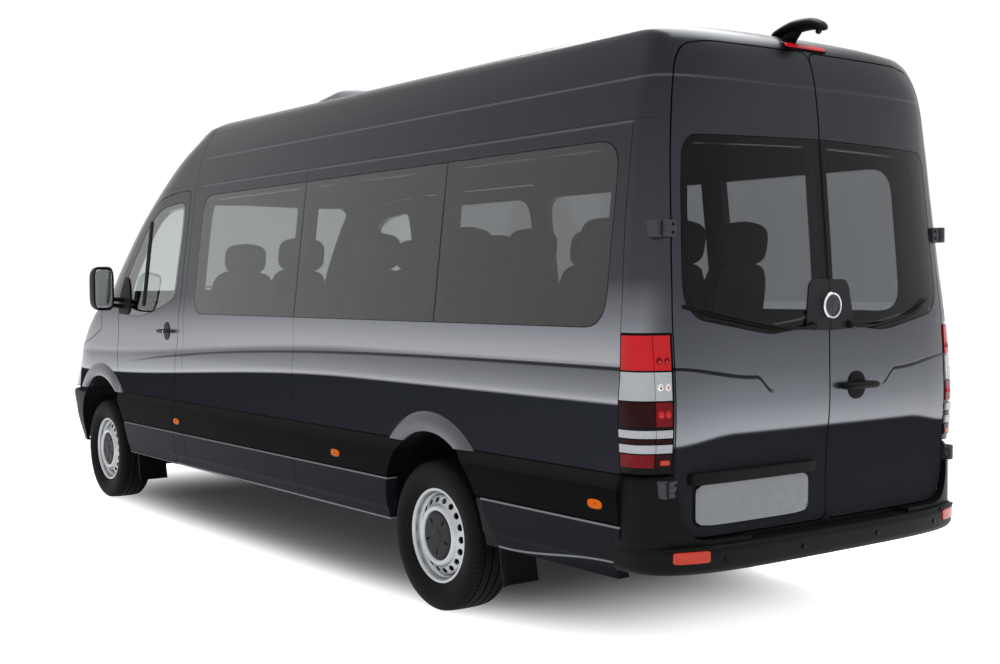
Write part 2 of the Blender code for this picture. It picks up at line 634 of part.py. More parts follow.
def rear_hinge_place(side, z):
    (x0, y0, z0), (x1, y1, z1) = REAR_HINGE
    part = (z - z0) / (z1 - z0)
    return ((x0 + part * (x1 - x0), side * (y0 + part * (y1 - y0)), z), (x1 - x0, side * (y1 - y0), z1 - z0))


def rear_hinge_leaf(side, z):
    """The door's half of a rear hinge: an eye, a strap behind the door and a pad down to its skin."""
    span = sorted((side * -0.045, side * -0.008))
    strap = box((-0.004, span[0], -EYE_HALF), (0.004, span[1], EYE_HALF))
    pad = sorted((side * -0.045, side * -0.019))
    fuse(strap, box((-0.004, pad[0], -EYE_HALF), (0.026, pad[1], EYE_HALF)))
    return leant(fuse(eye(REAR_EYE, REAR_PIN + PIN_GAP), strap), *rear_hinge_place(side, z))


def rear_hinge_pin(side, z):
    """The body's half: a pin held by two plates that stand on the corner post."""
    pin = cylinder(REAR_PIN, 2 * EYE_HALF + 0.016, (0, 0, 0), "z", 16)
    low, high = sorted((side * -0.0080, side * (-0.0046 if z < TAIL_LAMP["low_z"] else 0.022)))
    for end in (1, -1):
        z0, z1 = sorted((end * (EYE_HALF + 2 * PIN_GAP), end * (EYE_HALF + 0.010)))
        fuse(pin, box((-0.0085, low, z0), (0.070, high, z1)))
        fuse(pin, box((-0.0085, -0.0085, z0), (0.0085, 0.0085, z1)))
    return leant(pin, *rear_hinge_place(side, z))


def bonnet_hinge_box(side, lo, hi):
    """A box beside the bonnet's hinge line, its x and z measured from that line."""
    low, high = sorted((side * lo[1], side * hi[1]))
    return box((BONNET_REAR_X + lo[0], low, BONNET_HINGE_Z + lo[2]), (BONNET_REAR_X + hi[0], high, BONNET_HINGE_Z + hi[2]))


def bonnet_hinge_tube(side):
    """The bonnet's half of a bonnet hinge: a blind tube over the pin, with a bar out to the skin."""
    tube = eye(BONNET_EYE, BONNET_PIN + PIN_GAP)
    fuse(tube, cylinder(BONNET_EYE - FIT, 0.026, (0, 0, side * 0.0305), "z", 16))
    leant(tube, (BONNET_REAR_X, side * 0.8705, BONNET_HINGE_Z), (0, 1, 0))
    return fuse(tube, bonnet_hinge_box(side, (0.001, 0.905, -0.008), (0.008, 0.962, 0.002)))


# ---------------------------------------------------------------- floor, frame and wheelhouses
RAIL_Y, RAIL_WIDTH, RAIL_HEIGHT = 0.400, 0.070, 0.130
FLOOR_REAR_X, FLOOR_FRONT_X = -3.300, 2.050
RAIL_FRONT_X = 3.150
CROSS_MEMBERS_X = (-3.20, -1.20, 0.0, 1.20)
CROSS_LOW_Z = FLOOR_TOP - FLOOR_THICK - 0.090
BULKHEAD_X, BULKHEAD_THICK = 2.190, 0.025
DOOR_INNER_Y = 0.895         # floor and posts stop here beside the cab doors


def wheelhouse(centre_x, size, inner_y, side, wall, side_wall=WALL):
    """The block of one wheelhouse with walls of the given thickness, or its hollow where wall is 0."""
    low, high = side_span(side, inner_y - wall)
    block = prism(arch(centre_x, size, wall, HOUSE_BASE_Z if wall else 0.0), "y", low, high)
    if wall:
        common(block, body_loft(side_wall + 3 * FIT, low=HOUSE_BASE_Z - 0.010, high=1.0))
    return block


SPRING_Y = 0.510
SPRING_TOP = ((0.35, 0.085), (0.70, 0.165))      # along the spring from the axle, above its seat
SPRING_SEAT_Z = AXLE_Z - 0.012


def spring_hangers():
    """Lower edges (x, z) of the two hangers that stand on each rear spring's ends."""
    (a0, b0), (a1, b1) = SPRING_TOP
    start = a0 + 0.75 * (a1 - a0)
    edge = [(start, b0 + 0.75 * (b1 - b0) + FIT), (a1, b1 + FIT)]
    return [[(REAR_AXLE_X + end * a, SPRING_SEAT_Z + b) for a, b in edge] for end in (1, -1)]


def build_floor():
    floor_low = FLOOR_TOP - FLOOR_THICK
    floor = common(body_loft(WALL + FIT, low=floor_low, high=FLOOR_TOP),
                   box((FLOOR_REAR_X, -OUT, 0.0), (FLOOR_FRONT_X, OUT, 3.0)))
    rail_low = floor_low - RAIL_HEIGHT
    for side in (1, -1):
        fuse(floor, box((FLOOR_REAR_X, side * RAIL_Y - RAIL_WIDTH / 2, rail_low),
                        (RAIL_FRONT_X, side * RAIL_Y + RAIL_WIDTH / 2, floor_low + 0.010)))
    for x in CROSS_MEMBERS_X:
        fuse(floor, box((x - 0.04, -0.86, CROSS_LOW_Z), (x + 0.04, 0.86, floor_low + 0.012)))
    fuse(floor, box((RAIL_FRONT_X - 0.040, -0.62, rail_low - 0.02), (RAIL_FRONT_X, 0.62, floor_low + 0.02)))
    fuse(floor, box((FLOOR_FRONT_X - 0.010, -0.86, floor_low), (BULKHEAD_X + BULKHEAD_THICK, 0.86, FLOOR_TOP)))
    fuse(floor, box((BULKHEAD_X, -0.90, floor_low), (BULKHEAD_X + BULKHEAD_THICK, 0.90, COWL_Z - FIT)))
    for side in (1, -1):
        fuse(floor, wheelhouse(REAR_AXLE_X, REAR_ARCH, REAR_HOUSE_Y, side, HOUSE_WALL))
        fuse(floor, wheelhouse(FRONT_AXLE_X, FRONT_ARCH, FRONT_HOUSE_Y, side, HOUSE_WALL, WING_WALL))
    for side in (1, -1):
        cut(floor, wheelhouse(REAR_AXLE_X, REAR_ARCH, REAR_HOUSE_Y, side, 0.0))
        cut(floor, wheelhouse(FRONT_AXLE_X, FRONT_ARCH, FRONT_HOUSE_Y, side, 0.0))
        low, high = side_span(side, FRONT_HOUSE_Y - 0.020)
        cut(floor, box((FRONT_AXLE_X - 0.120, low, 0.0), (FRONT_AXLE_X + 0.120, high, 0.610)))
        cut(floor, prism(grown(CAB_DOOR, DOOR_GAP), "y", *side_span(side, DOOR_INNER_Y)))
        low, high = side_span(side, REAR_BUMPER["corner_y"] - 0.020)
        cut(floor, box((-4.0, low, 0.0), (REAR_BUMPER["front_x"] + 0.010, high, 0.900)))
        for z in CAB_HINGES_Z:
            fuse(floor, cab_hinge_lug(side, z))
        for line in spring_hangers():
            fuse(floor, prism(line + [(line[1][0], floor_low + 0.010), (line[0][0], floor_low + 0.010)], "y",
                              side * SPRING_Y - 0.030, side * SPRING_Y + 0.030))
    tail = cut(box((-4.0, -OUT, 0.3), (REAR_JAMB_X, OUT, 1.0)), body_loft(WALL + DOOR_GAP, low=0.2, high=1.1))
    cut(floor, tail)
    finish(floor, "floor_and_frame", IRON)


# ---------------------------------------------------------------- wheels, axles and steering
def build_wheels():
    half, radius = TYRE_WIDTH / 2, TYRE_RADIUS
    tyre = [(RIM_RADIUS - 0.002, -half * 0.76), (radius * 0.82, -half), (radius * 0.95, -half * 0.93),
            (radius, -half * 0.70), (radius, half * 0.70), (radius * 0.95, half * 0.93),
            (radius * 0.82, half), (RIM_RADIUS - 0.002, half * 0.76)]
    rim, lip = RIM_RADIUS - 0.002 - FIT, RIM_WIDTH / 2
    wheel = [(rim, lip), (rim - 0.016, lip), (rim - 0.040, 0.020), (rim - 0.070, 0.052),
             (0.100, 0.062), (0.080, 0.078), (HUB_BORE, 0.085), (HUB_BORE, 0.035),
             (rim - 0.070, 0.030), (rim - 0.020, -lip), (rim, -lip)]
    for side, label in ((1, "left"), (-1, "right")):
        for axle_x, end in ((FRONT_AXLE_X, "front"), (REAR_AXLE_X, "rear")):
            centre = (axle_x, side * WHEEL_Y, AXLE_Z)
            finish(turned(tyre, centre, WHEEL_STEPS), f"tyre_{end}_{label}", RUBBER)
            finish(turned([(r, side * across) for r, across in wheel], centre, WHEEL_STEPS),
                   f"wheel_{end}_{label}", STEEL)


WHEEL_STEPS = 28
HUB_BORE = 0.0320
HUB_RADIUS = 0.0310
DRUM_RADIUS = 0.140


def hub(axle_x, side, inner_y):
    """Spindle in the wheel's bore, with the brake disc or drum behind it."""
    tip = WHEEL_Y + 0.088
    spindle = cylinder(HUB_RADIUS, tip - inner_y, (axle_x, side * (tip + inner_y) / 2, AXLE_Z), steps=16)
    drum = cylinder(DRUM_RADIUS, 0.055, (axle_x, side * (WHEEL_Y - 0.020), AXLE_Z), steps=20)
    return fuse(spindle, drum)


def build_axles():
    for side, label in ((1, "left"), (-1, "right")):
        knuckle = hub(FRONT_AXLE_X, side, KINGPIN_Y - 0.010)
        post = cylinder(0.030, 0.260, (FRONT_AXLE_X, side * KINGPIN_Y, AXLE_Z + 0.020), "z", 16)
        fuse(knuckle, post)
        arm = box((FRONT_AXLE_X - 0.150, side * KINGPIN_Y - 0.014, AXLE_Z - 0.060),
                  (FRONT_AXLE_X, side * KINGPIN_Y + 0.014, AXLE_Z - 0.030))
        finish(fuse(knuckle, arm), f"steering_knuckle_{label}", IRON)
    axle = cylinder(0.048, 2 * (WHEEL_Y - 0.060), (REAR_AXLE_X, 0, AXLE_Z), steps=20)
    for side in (1, -1):
        fuse(axle, hub(REAR_AXLE_X, side, WHEEL_Y - 0.10))
        near, tip = SPRING_TOP
        spring = [(-0.70, 0.150), (-0.35, 0.060), (0.0, 0.035), (0.35, 0.060), (0.70, 0.150),
                  tip, near, (0.0, 0.075), (-near[0], near[1]), (-tip[0], tip[1])]
        line = [(REAR_AXLE_X + a, SPRING_SEAT_Z + b) for a, b in spring]
        y = side * SPRING_Y
        fuse(axle, prism(line, "y", y - 0.035, y + 0.035))
    fuse(axle, cylinder(0.125, 0.150, (REAR_AXLE_X, 0, AXLE_Z), steps=16))
    finish(axle, "rear_axle", IRON)


def build_front_beam():
    """Cross member and wishbones that carry the knuckles."""
    beam = box((FRONT_AXLE_X - 0.10, -0.460, AXLE_Z - 0.150), (FRONT_AXLE_X + 0.10, 0.460, AXLE_Z - 0.085))
    for side in (1, -1):
        y0, y1 = sorted((side * 0.440, side * (KINGPIN_Y + 0.020)))
        fuse(beam, box((FRONT_AXLE_X - 0.040, y0, AXLE_Z - 0.145), (FRONT_AXLE_X + 0.040, y1, AXLE_Z - 0.110 - PIN_GAP)))
        top = AXLE_Z + 0.150 + PIN_GAP
        fuse(beam, box((FRONT_AXLE_X - 0.035, y0, top), (FRONT_AXLE_X + 0.035, y1, top + 0.025)))
        y2, y3 = sorted((side * (RAIL_Y + RAIL_WIDTH / 2 + FIT), side * (FRONT_HOUSE_Y - HOUSE_WALL - FIT)))
        fuse(beam, box((FRONT_AXLE_X - 0.060, y2, AXLE_Z - 0.140), (FRONT_AXLE_X + 0.060, y3, top + 0.030)))
    finish(beam, "front_suspension", IRON)


# ---------------------------------------------------------------- fittings
def build_rear_bumper():
    size = REAR_BUMPER

    def plan(back, width, exponent=4.0):
        points = []
        for k in range(0, 17):
            angle = math.pi / 2 * (k / 8 - 1)
            c, s = math.cos(angle), math.sin(angle)
            points.append((-3.10 + (back + 3.10) * abs(c) ** (2 / exponent),
                           math.copysign(width * abs(s) ** (2 / exponent), s)))
        return points
    bumper = prism(plan(size["back_x"], size["width"]), "z", size["low_z"], size["high_z"])
    corner = prism(plan(size["back_x"] + 0.035, size["width"]), "z", size["high_z"] - 0.01, size["corner_z"])
    cut(corner, box((-4, -size["corner_y"], 0), (0, size["corner_y"], 2)))
    fuse(bumper, corner)
    cut(bumper, prism(plan(size["back_x"] + size["thick"], size["width"] - size["thick"]), "z", 0.3, 1.0))
    common(bumper, box((-4, -OUT, 0), (size["front_x"], OUT, 2)))
    cut(bumper, box((TAIL_LAMP["front_x"], -OUT, size["high_z"]), (0, OUT, 2)))
    for side in (1, -1):
        x, y, z = rear_hinge_place(side, REAR_HINGES_Z[0])[0]
        cut(bumper, cylinder(0.018, 0.100, (x, y, z), "z", 16))
    finish(bumper, "rear_bumper", BLACK)


def build_roof_fittings():
    unit = box((-0.240, -0.520, 2.560), (0.150, 0.520, 2.700), 0.012)
    finish(cut(unit, body_loft(-FIT)), "roof_air_unit", PALE)
    lamp = box((-3.290, -0.130, 2.522), (-3.200, 0.130, 2.560), 0.003)
    pod = prism([(-3.36, 2.575), (-3.28, 2.550), (-3.10, 2.560), (-3.08, 2.625), (-3.16, 2.655),
                 (-3.30, 2.640), (-3.385, 2.600)], "y", -0.050, 0.050)
    finish(cut(fuse(lamp, pod), body_loft(-FIT)), "rear_camera_and_brake_lamp", BLACK)


MIRROR = {"x": (2.010, 2.180), "y": (1.060, 1.200), "z": (1.390, 1.670)}


def build_mirrors():
    for side, label in ((1, "left"), (-1, "right")):
        x, y, z = MIRROR["x"], sorted(side * v for v in MIRROR["y"]), MIRROR["z"]
        head = box((x[0], y[0], z[0]), (x[1], y[1], z[1]), 0.025)
        wall = skin_y(2.09, 1.40)
        span = sorted((side * (wall - 0.020), side * 1.080))
        arm = box((2.060, span[0], 1.400), (2.115, span[1], 1.440), 0.006)
        finish(cut(fuse(head, arm), body_loft(-FIT)), f"mirror_{label}", BLACK)


def seat_line(x, z):
    """Side outline of a seat, as (x, z): cushion, back and head restraint."""
    shape = ((0.24, 0.30), (0.26, 0.38), (0.22, 0.44), (-0.16, 0.42), (-0.26, 0.90), (-0.27, 1.02),
             (-0.30, 1.14), (-0.37, 1.14), (-0.39, 1.00), (-0.36, 0.90), (-0.30, 0.40), (-0.24, 0.28))
    return [(x + a, z + b) for a, b in shape]


def build_seats():
    floor_z = FLOOR_TOP
    for side, label in ((1, "driver_seat"), (-1, "passenger_seat")):
        y = side * 0.440
        seat = prism(seat_line(1.520, floor_z), "y", y - 0.25, y + 0.25)
        base = box((1.32, y - 0.20, floor_z + FIT), (1.70, y + 0.20, floor_z + 0.33))
        finish(fuse(seat, base), label, CLOTH)
    rails = box((-2.900, 0.500, floor_z + FIT), (0.700, 0.560, floor_z + 0.015))
    fuse(rails, box((-2.900, -0.080, floor_z + FIT), (0.700, -0.020, floor_z + 0.015)))
    for x in (0.30, -0.55, -1.40, -2.45):
        bench = prism(seat_line(x, floor_z), "y", -0.35, 0.87)
        legs = box((x - 0.22, -0.07, floor_z + 0.005), (x + 0.16, 0.55, floor_z + 0.32))
        fuse(rails, bench, legs)
    finish(rails, "bench_seats", CLOTH)


COLUMN_ANGLE = 50.0          # steering column, below level
STEERING_CENTRE = (1.800, 0.440, 1.330)
HUB_FRONT = 0.035            # from the steering wheel's centre to the front of its hub


def build_cab():
    back = BULKHEAD_X - FIT
    board = prism([(back, 0.98), (back, 1.405), (2.05, 1.405), (1.93, 1.33), (1.90, 1.18), (2.02, 1.02)],
                  "y", -0.88, 0.88)
    lean = math.radians(COLUMN_ANGLE)
    down = Vector((math.cos(lean), 0.0, -math.sin(lean)))
    start, end = HUB_FRONT + PIN_GAP, 0.220
    column = cylinder(0.034, end - start, (0, 0, (start + end) / 2), "z", 16)
    fuse(board, leant(column, STEERING_CENTRE, down))
    finish(board, "dashboard", BLACK)
    wheel = turned([(0.205, -0.014), (0.233, -0.014), (0.233, 0.014), (0.205, 0.014)], (0, 0, 0), 24)
    fuse(wheel, box((-0.215, -0.010, -0.022), (0.215, 0.010, 0.022)))
    fuse(wheel, cylinder(0.070, 0.050, (0, 0.025 - HUB_FRONT, 0), steps=16))
    wheel.rotation_euler = (0, 0, math.radians(90))
    bpy.context.view_layer.update()
    wheel.data.transform(wheel.matrix_world)
    wheel.rotation_euler = (0, math.radians(COLUMN_ANGLE), 0)
    wheel.location = STEERING_CENTRE
    finish(wheel, "steering_wheel", BLACK)


def build_machinery():
    engine = box((2.28, -0.30, 0.42), (2.98, 0.30, 1.08), 0.04)
    fuse(engine, box((1.30, -0.16, 0.36), (2.30, 0.16, 0.60), 0.04))
    for side in (1, -1):
        low, high = sorted((side * 0.290, side * (RAIL_Y - RAIL_WIDTH / 2 - FIT)))
        fuse(engine, box((2.560, low, 0.530), (2.640, high, 0.600)))
    finish(engine, "engine_and_gearbox", IRON)
    floor_low = FLOOR_TOP - FLOOR_THICK
    tank = box((0.20, 0.47, 0.34), (1.10, 0.83, floor_low - FIT), 0.03)
    finish(tank, "fuel_tank", BLACK)
    pipe = cylinder(0.030, 2.4, (0.10, -0.56, 0.43), "x", 12)
    fuse(pipe, cylinder(0.090, 0.70, (0.40, -0.56, 0.43), "x", 16))
    for x in CROSS_MEMBERS_X[2:]:
        fuse(pipe, box((x - 0.015, -0.572, 0.440), (x + 0.015, -0.548, CROSS_LOW_Z - FIT)))
    finish(pipe, "exhaust", STEEL)


clear_scene()
build_body()
build_floor()
build_wheels()
build_axles()
build_front_beam()
build_rear_bumper()
build_roof_fittings()
build_mirrors()
build_seats()
build_cab()
build_machinery()
for helper in list(cutters.objects):
    bpy.data.objects.remove(helper, do_unlink=True)
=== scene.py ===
"""Fine surfaces and finishes of a long-wheelbase, high-roof passenger van, laid over its assembled frame.

Frame: +X forward, +Y to the left, +Z up, in metres.  The body is one skin.  Each of its plan rings is a
bowed tail, two straight sides and a rounded nose, and every panel, pane and lamp is cut from that skin.
"""

import logging
import math
from dataclasses import dataclass, field
from enum import Enum
from collections.abc import Callable

import bmesh
import bpy
import numpy as np
from mathutils import Matrix, Vector

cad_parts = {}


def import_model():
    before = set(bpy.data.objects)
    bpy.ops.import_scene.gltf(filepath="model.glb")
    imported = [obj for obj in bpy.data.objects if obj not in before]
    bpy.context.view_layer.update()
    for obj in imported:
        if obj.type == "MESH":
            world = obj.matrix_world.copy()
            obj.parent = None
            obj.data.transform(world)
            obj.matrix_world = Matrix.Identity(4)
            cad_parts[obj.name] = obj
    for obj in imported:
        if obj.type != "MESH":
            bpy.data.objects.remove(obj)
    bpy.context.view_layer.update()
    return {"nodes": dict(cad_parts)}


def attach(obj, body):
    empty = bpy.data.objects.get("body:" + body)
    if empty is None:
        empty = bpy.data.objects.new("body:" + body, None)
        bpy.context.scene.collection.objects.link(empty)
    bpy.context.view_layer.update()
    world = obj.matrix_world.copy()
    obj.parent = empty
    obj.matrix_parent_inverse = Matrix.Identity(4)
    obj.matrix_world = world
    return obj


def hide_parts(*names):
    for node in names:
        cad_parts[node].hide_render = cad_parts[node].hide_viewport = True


LOG = logging.getLogger("passenger_van")
LINING_MARK = "lining"          # 1 on the faces of a panel that look into the cabin

# ------------------------------------------------------------------ sizes shared with the assembled frame
TYRE_RADIUS = 0.356             # unloaded tyre
WHEEL_Y = 0.858                 # middle of each wheel
REAR_AXLE_X = -1.8565           # the front axle is one wheelbase ahead
WHEELBASE = 4.325
FRONT_AXLE_X = REAR_AXLE_X + WHEELBASE
WALL = 0.055                    # skin, frame and inner trim together
PROUD = 0.0006                  # of the skin, for what is laid on it
SEAM = 0.0006                   # between fixed panels
DOOR_GAP = 0.006                # around doors and the bonnet
OUT = 1.4                       # beyond the body on either side
BEHIND, AHEAD, ABOVE = -4.0, 4.0, 3.0      # beyond its tail, its nose and its roof
LEAN = 1.35                     # how far the raked nose moves back for each metre of inset
B_SEAM_X = 1.000                # side panel behind, cab in front
COWL_Z = 1.420                  # foot of the windscreen
ROOF_SPLIT_Z = 2.185            # roof above, sides below
REAR_ARCH = (0.405, 0.852)      # radius and top of the wheel openings
FRONT_ARCH = (0.462, 0.893)
DOOR_FRONT_X = 2.128            # front edge of the cab doors
DOOR_SILL_Z = 0.388             # foot of the cab doors and the sliding door
CAB_HINGE_X = 2.172             # the cab doors turn about this line
CAB_HINGE_DEPTH = 0.040         # of that line, below the skin
REAR_DOOR_Z = (0.545, 2.506)
REAR_JAMB_X = -3.190            # how far forwards the rear doors reach
MOULDING_Z = (0.592, 0.800)
EDGE_Z = (0.430, 0.446, 0.582, 0.606, 0.742, 0.793)      # heights of the pressed edges of the lower sides
SIDE_SPLIT_X, SIDE_PANE_SPLIT_X = -0.500, -1.885
REAR_HINGES = ((0.748, -3.372, 0.884, 0.014), (1.752, -3.330, 0.872, 0.028))   # z, x and y of the axis, half a leaf
BELT_Z, BELT_BEND, BELT_POWER, BELT_END_X = 1.208, 0.0019, 2.8, 3.19    # of the line pressed along the sides
SLIDE_FRONT_X, SLIDE_REAR_X, SLIDE_TOP_Z = 0.988, -0.352, 2.165
BONNET_REAR_X = 2.472
BUMPER_REAR_X, BUMPER_TOP_Z = 2.700, 0.755
LAMP_REAR_X, LAMP_INNER_Y = 2.960, 0.520

# z, half width, where the side ends, the middle of the tail, its exponent, the same three at the nose, and
# how much of an inset goes downwards
RINGS = (
    (0.376, 0.955, -3.200, -3.380, 4.0, 2.50, 3.420, 3.8, 0.0),
    (0.610, 0.990, -3.200, -3.383, 4.0, 2.60, 3.4725, 3.8, 0.0),
    (0.740, 0.9965, -3.200, -3.384, 4.0, 2.60, 3.458, 4.2, 0.0),
    (0.800, 0.988, -3.200, -3.386, 4.0, 2.60, 3.450, 3.8, 0.0),
    (1.065, 0.9965, -3.200, -3.407, 3.6, 2.60, 3.380, 2.8, 0.0),
    (1.185, 0.986, -3.200, -3.406, 3.5, 2.55, 3.290, 2.8, 0.0),
    (1.370, 0.980, -3.195, -3.403, 3.2, 2.42, 3.040, 2.5, 0.0),
    (1.415, 0.975, -3.193, -3.400, 3.2, 2.20, 2.930, 2.5, 0.0),
    (1.440, 0.971, -3.190, -3.399, 3.2, 2.15, 2.880, 2.6, 0.0),
    (1.627, 0.949, -3.185, -3.388, 3.0, 1.95, 2.700, 2.8, 0.0),
    (1.936, 0.910, -3.170, -3.363, 3.1, 1.70, 2.360, 2.6, 0.0),
    (2.117, 0.887, -3.155, -3.349, 3.3, 1.45, 2.120, 2.7, 0.0),
    (2.190, 0.876, -3.140, -3.344, 3.5, 1.36, 2.000, 2.7, 0.0),
    (2.365, 0.839, -3.120, -3.323, 4.2, 1.15, 1.720, 2.6, 0.3),
    (2.496, 0.793, -3.080, -3.284, 4.6, 0.97, 1.450, 2.5, 0.7),
    (2.549, 0.766, -3.050, -3.250, 4.0, 0.90, 1.350, 2.5, 0.9),
    (2.576, 0.726, -2.980, -3.200, 3.2, 0.80, 1.250, 2.5, 1.0),
    (2.610, 0.520, -2.850, -3.080, 2.8, 0.70, 1.080, 2.4, 1.0),
    (2.640, 0.250, -2.700, -2.900, 2.6, 0.60, 0.900, 2.4, 1.0),
)

CAB_DOOR = ((1.178, DOOR_SILL_Z), (DOOR_FRONT_X, DOOR_SILL_Z), (DOOR_FRONT_X, 1.500), (1.984, 1.755),
            (1.800, 1.962), (1.641, 2.085), (1.500, 2.130), (1.300, 2.150), (1.066, 2.158),
            (1.066, 1.500), (1.090, 1.180), (1.149, 0.810))
CAB_DOOR_PANE = ((1.155, 1.480), (1.290, 1.425), (1.500, 1.375), (1.760, 1.335), (2.030, 1.350),
                 (2.060, 1.420), (2.040, 1.560), (1.900, 1.740), (1.740, 1.920), (1.620, 2.015),
                 (1.480, 2.065), (1.190, 2.085), (1.135, 2.060), (1.125, 1.900))
REAR_DOOR = ((0.0040, REAR_DOOR_Z[0]), (0.712, REAR_DOOR_Z[0]), (0.769, 0.553), (0.812, 0.590), (0.837, 0.650),
             (0.845, 0.730), (0.845, 1.400), (0.822, 1.750), (0.803, 2.050), (0.780, 2.300), (0.756, 2.410),
             (0.705, 2.480), (0.590, 2.502), (0.0040, REAR_DOOR_Z[1]))
REAR_PANE = ((0.009, 1.395), (0.120, 1.360), (0.360, 1.332), (0.738, 1.400), (0.793, 1.470),
             (0.790, 1.600), (0.772, 1.900), (0.757, 2.070), (0.720, 2.120), (0.009, 2.135))
SCREEN = ((-0.900, 1.475), (0.900, 1.475), (0.885, 1.600), (0.800, 2.090), (0.740, 2.150), (0.0, 2.165),
          (-0.740, 2.150), (-0.800, 2.090), (-0.885, 1.600))
BONNET_LINE = ((BONNET_REAR_X, 1.236), (2.663, 1.167), (2.950, 1.092), (3.200, 1.052), (3.600, 1.030))


class Side(Enum):
    """The two sides of the van; the value is the sign of Y."""

    LEFT = 1
    RIGHT = -1

    @property
    def label(self) -> str:
        """The word used in piece names."""
        return self.name.lower()


# ------------------------------------------------------------------ the body skin
class Skin:
    """The outer surface of the body, as plan rings whose sizes run smoothly with height."""

    def __init__(self, table: np.ndarray) -> None:
        """Works out the slopes of a monotone cubic through every column of the ring table."""
        self.z, self.cols = table[:, 0], table[:, 1:]
        step = np.diff(self.z)[:, None]
        secant = np.diff(self.cols, axis=0) / step
        slope = np.zeros_like(self.cols)
        before, after = secant[:-1], secant[1:]
        w0, w1 = 2 * step[1:] + step[:-1], step[1:] + 2 * step[:-1]
        same = before * after > 0
        safe = np.where(same, before * after, 1.0)
        slope[1:-1] = np.where(same, (w0 + w1) * safe / (w0 * after + w1 * before + 1e-30), 0.0)
        slope[0], slope[-1] = secant[0], secant[-1]
        self.slope = slope

    def at(self, z: np.ndarray) -> np.ndarray:
        """Every column at heights z, by cubic Hermite pieces.

        Args:
            z: heights in metres, of any shape.
        Returns:
            An array with one more axis, for the eight columns of the ring table.
        """
        z = np.clip(np.asarray(z, float), self.z[0] - 0.05, self.z[-1] + 0.02)
        k = np.clip(np.searchsorted(self.z, z) - 1, 0, len(self.z) - 2)
        h = (self.z[k + 1] - self.z[k])[..., None]
        t = ((z - self.z[k])[..., None]) / h
        t2, t3 = t * t, t * t * t
        return ((2 * t3 - 3 * t2 + 1) * self.cols[k] + (t3 - 2 * t2 + t) * h * self.slope[k]
                + (3 * t2 - 2 * t3) * self.cols[k + 1] + (t3 - t2) * h * self.slope[k + 1])

    @staticmethod
    def arc(exponent: np.ndarray, steps: int) -> tuple[np.ndarray, np.ndarray]:
        """Cosine-like and sine-like factors of a quarter of a superellipse, even in polar angle."""
        angle = np.linspace(0.0, math.pi / 2, steps + 1)
        c, s = np.cos(angle), np.sin(angle)
        c[-1], s[0] = 0.0, 0.0
        n = exponent[:, None]
        reach = (c ** n + s ** n) ** (-1.0 / n)
        return c * reach, s * reach

    def rings(self, heights: np.ndarray, inset: float, tail: int = 14, side: int = 12, nose: int = 18) -> np.ndarray:
        """Points of whole rings, moved inwards by inset.

        A ring goes tail middle, left side, nose middle, right side.  The tail is x = s + (r - s) C, y = w S,
        with C and S from a superellipse, the side is straight, and the nose is as the tail.
        Args:
            heights: heights of the rings.
            inset: how far inside the skin.
            tail, side, nose: steps along each stretch of the left half.
        Returns:
            An array of rings by points by three.
        """
        w, rear_s, rear, rear_n, front_s, front, front_n, lift = self.at(heights).T
        across = inset * np.sqrt(np.clip(1.0 - lift ** 2, 0, 1))
        w, rear, front = w - across, rear + across, front - inset * LEAN * (1 - 0.5 * lift)
        c, s = self.arc(rear_n, tail)
        x0, y0 = rear_s[:, None] + (rear - rear_s)[:, None] * c, w[:, None] * s
        f, g = self.arc(front_n, nose)
        x2, y2 = (front_s[:, None] + (front - front_s)[:, None] * f)[:, ::-1], (w[:, None] * g)[:, ::-1]
        t = np.linspace(0, 1, side + 1)[1:-1]
        x1 = rear_s[:, None] + (front_s - rear_s)[:, None] * t
        y1 = np.repeat(w[:, None], len(t), axis=1)
        x, y = np.hstack((x0, x1, x2)), np.hstack((y0, y1, y2))
        x, y = np.hstack((x, x[:, -2:0:-1])), np.hstack((y, -y[:, -2:0:-1]))
        level = np.repeat((heights - inset * lift)[:, None], x.shape[1], axis=1)
        return np.stack((x, y, level), axis=2)

    def heights(self, low: float | None, high: float | None, step: float = 0.03) -> np.ndarray:
        """Ring heights between low and high, no further apart than step, with every ring of the table."""
        low = self.z[0] if low is None else low
        high = self.z[-1] if high is None else high
        inner = np.union1d(self.z, EDGE_Z)
        stops = np.concatenate(([low], inner[(inner > low + 0.004) & (inner < high - 0.004)], [high]))
        runs = [np.linspace(a, b, max(1, math.ceil((b - a) / step)) + 1)[:-1] for a, b in zip(stops, stops[1:])]
        return np.concatenate(runs + [[high]])

    def level(self, p: np.ndarray) -> np.ndarray:
        """1 on the skin, less inside, more outside: (a^n + b^n)^(1/n) of the scaled x and y."""
        w, rear_s, rear, rear_n, front_s, front, front_n, _ = np.moveaxis(self.at(p[..., 2]), -1, 0)
        back = (rear_s - p[..., 0]) / (rear_s - rear)
        ahead = (p[..., 0] - front_s) / (front - front_s)
        n = np.where(back > ahead, rear_n, front_n)
        a, b = np.clip(np.maximum(back, ahead), 0, None), np.abs(p[..., 1]) / w
        return (a ** n + b ** n + 1e-12) ** (1 / n)

    def normals(self, p: np.ndarray) -> np.ndarray:
        """Unit outward directions at points p, from central differences of level()."""
        grad = np.empty_like(p)
        for k in range(3):
            shift = np.zeros(3)
            shift[k] = 0.0008
            grad[..., k] = self.level(p + shift) - self.level(p - shift)
        return grad / (np.linalg.norm(grad, axis=-1, keepdims=True) + 1e-12)

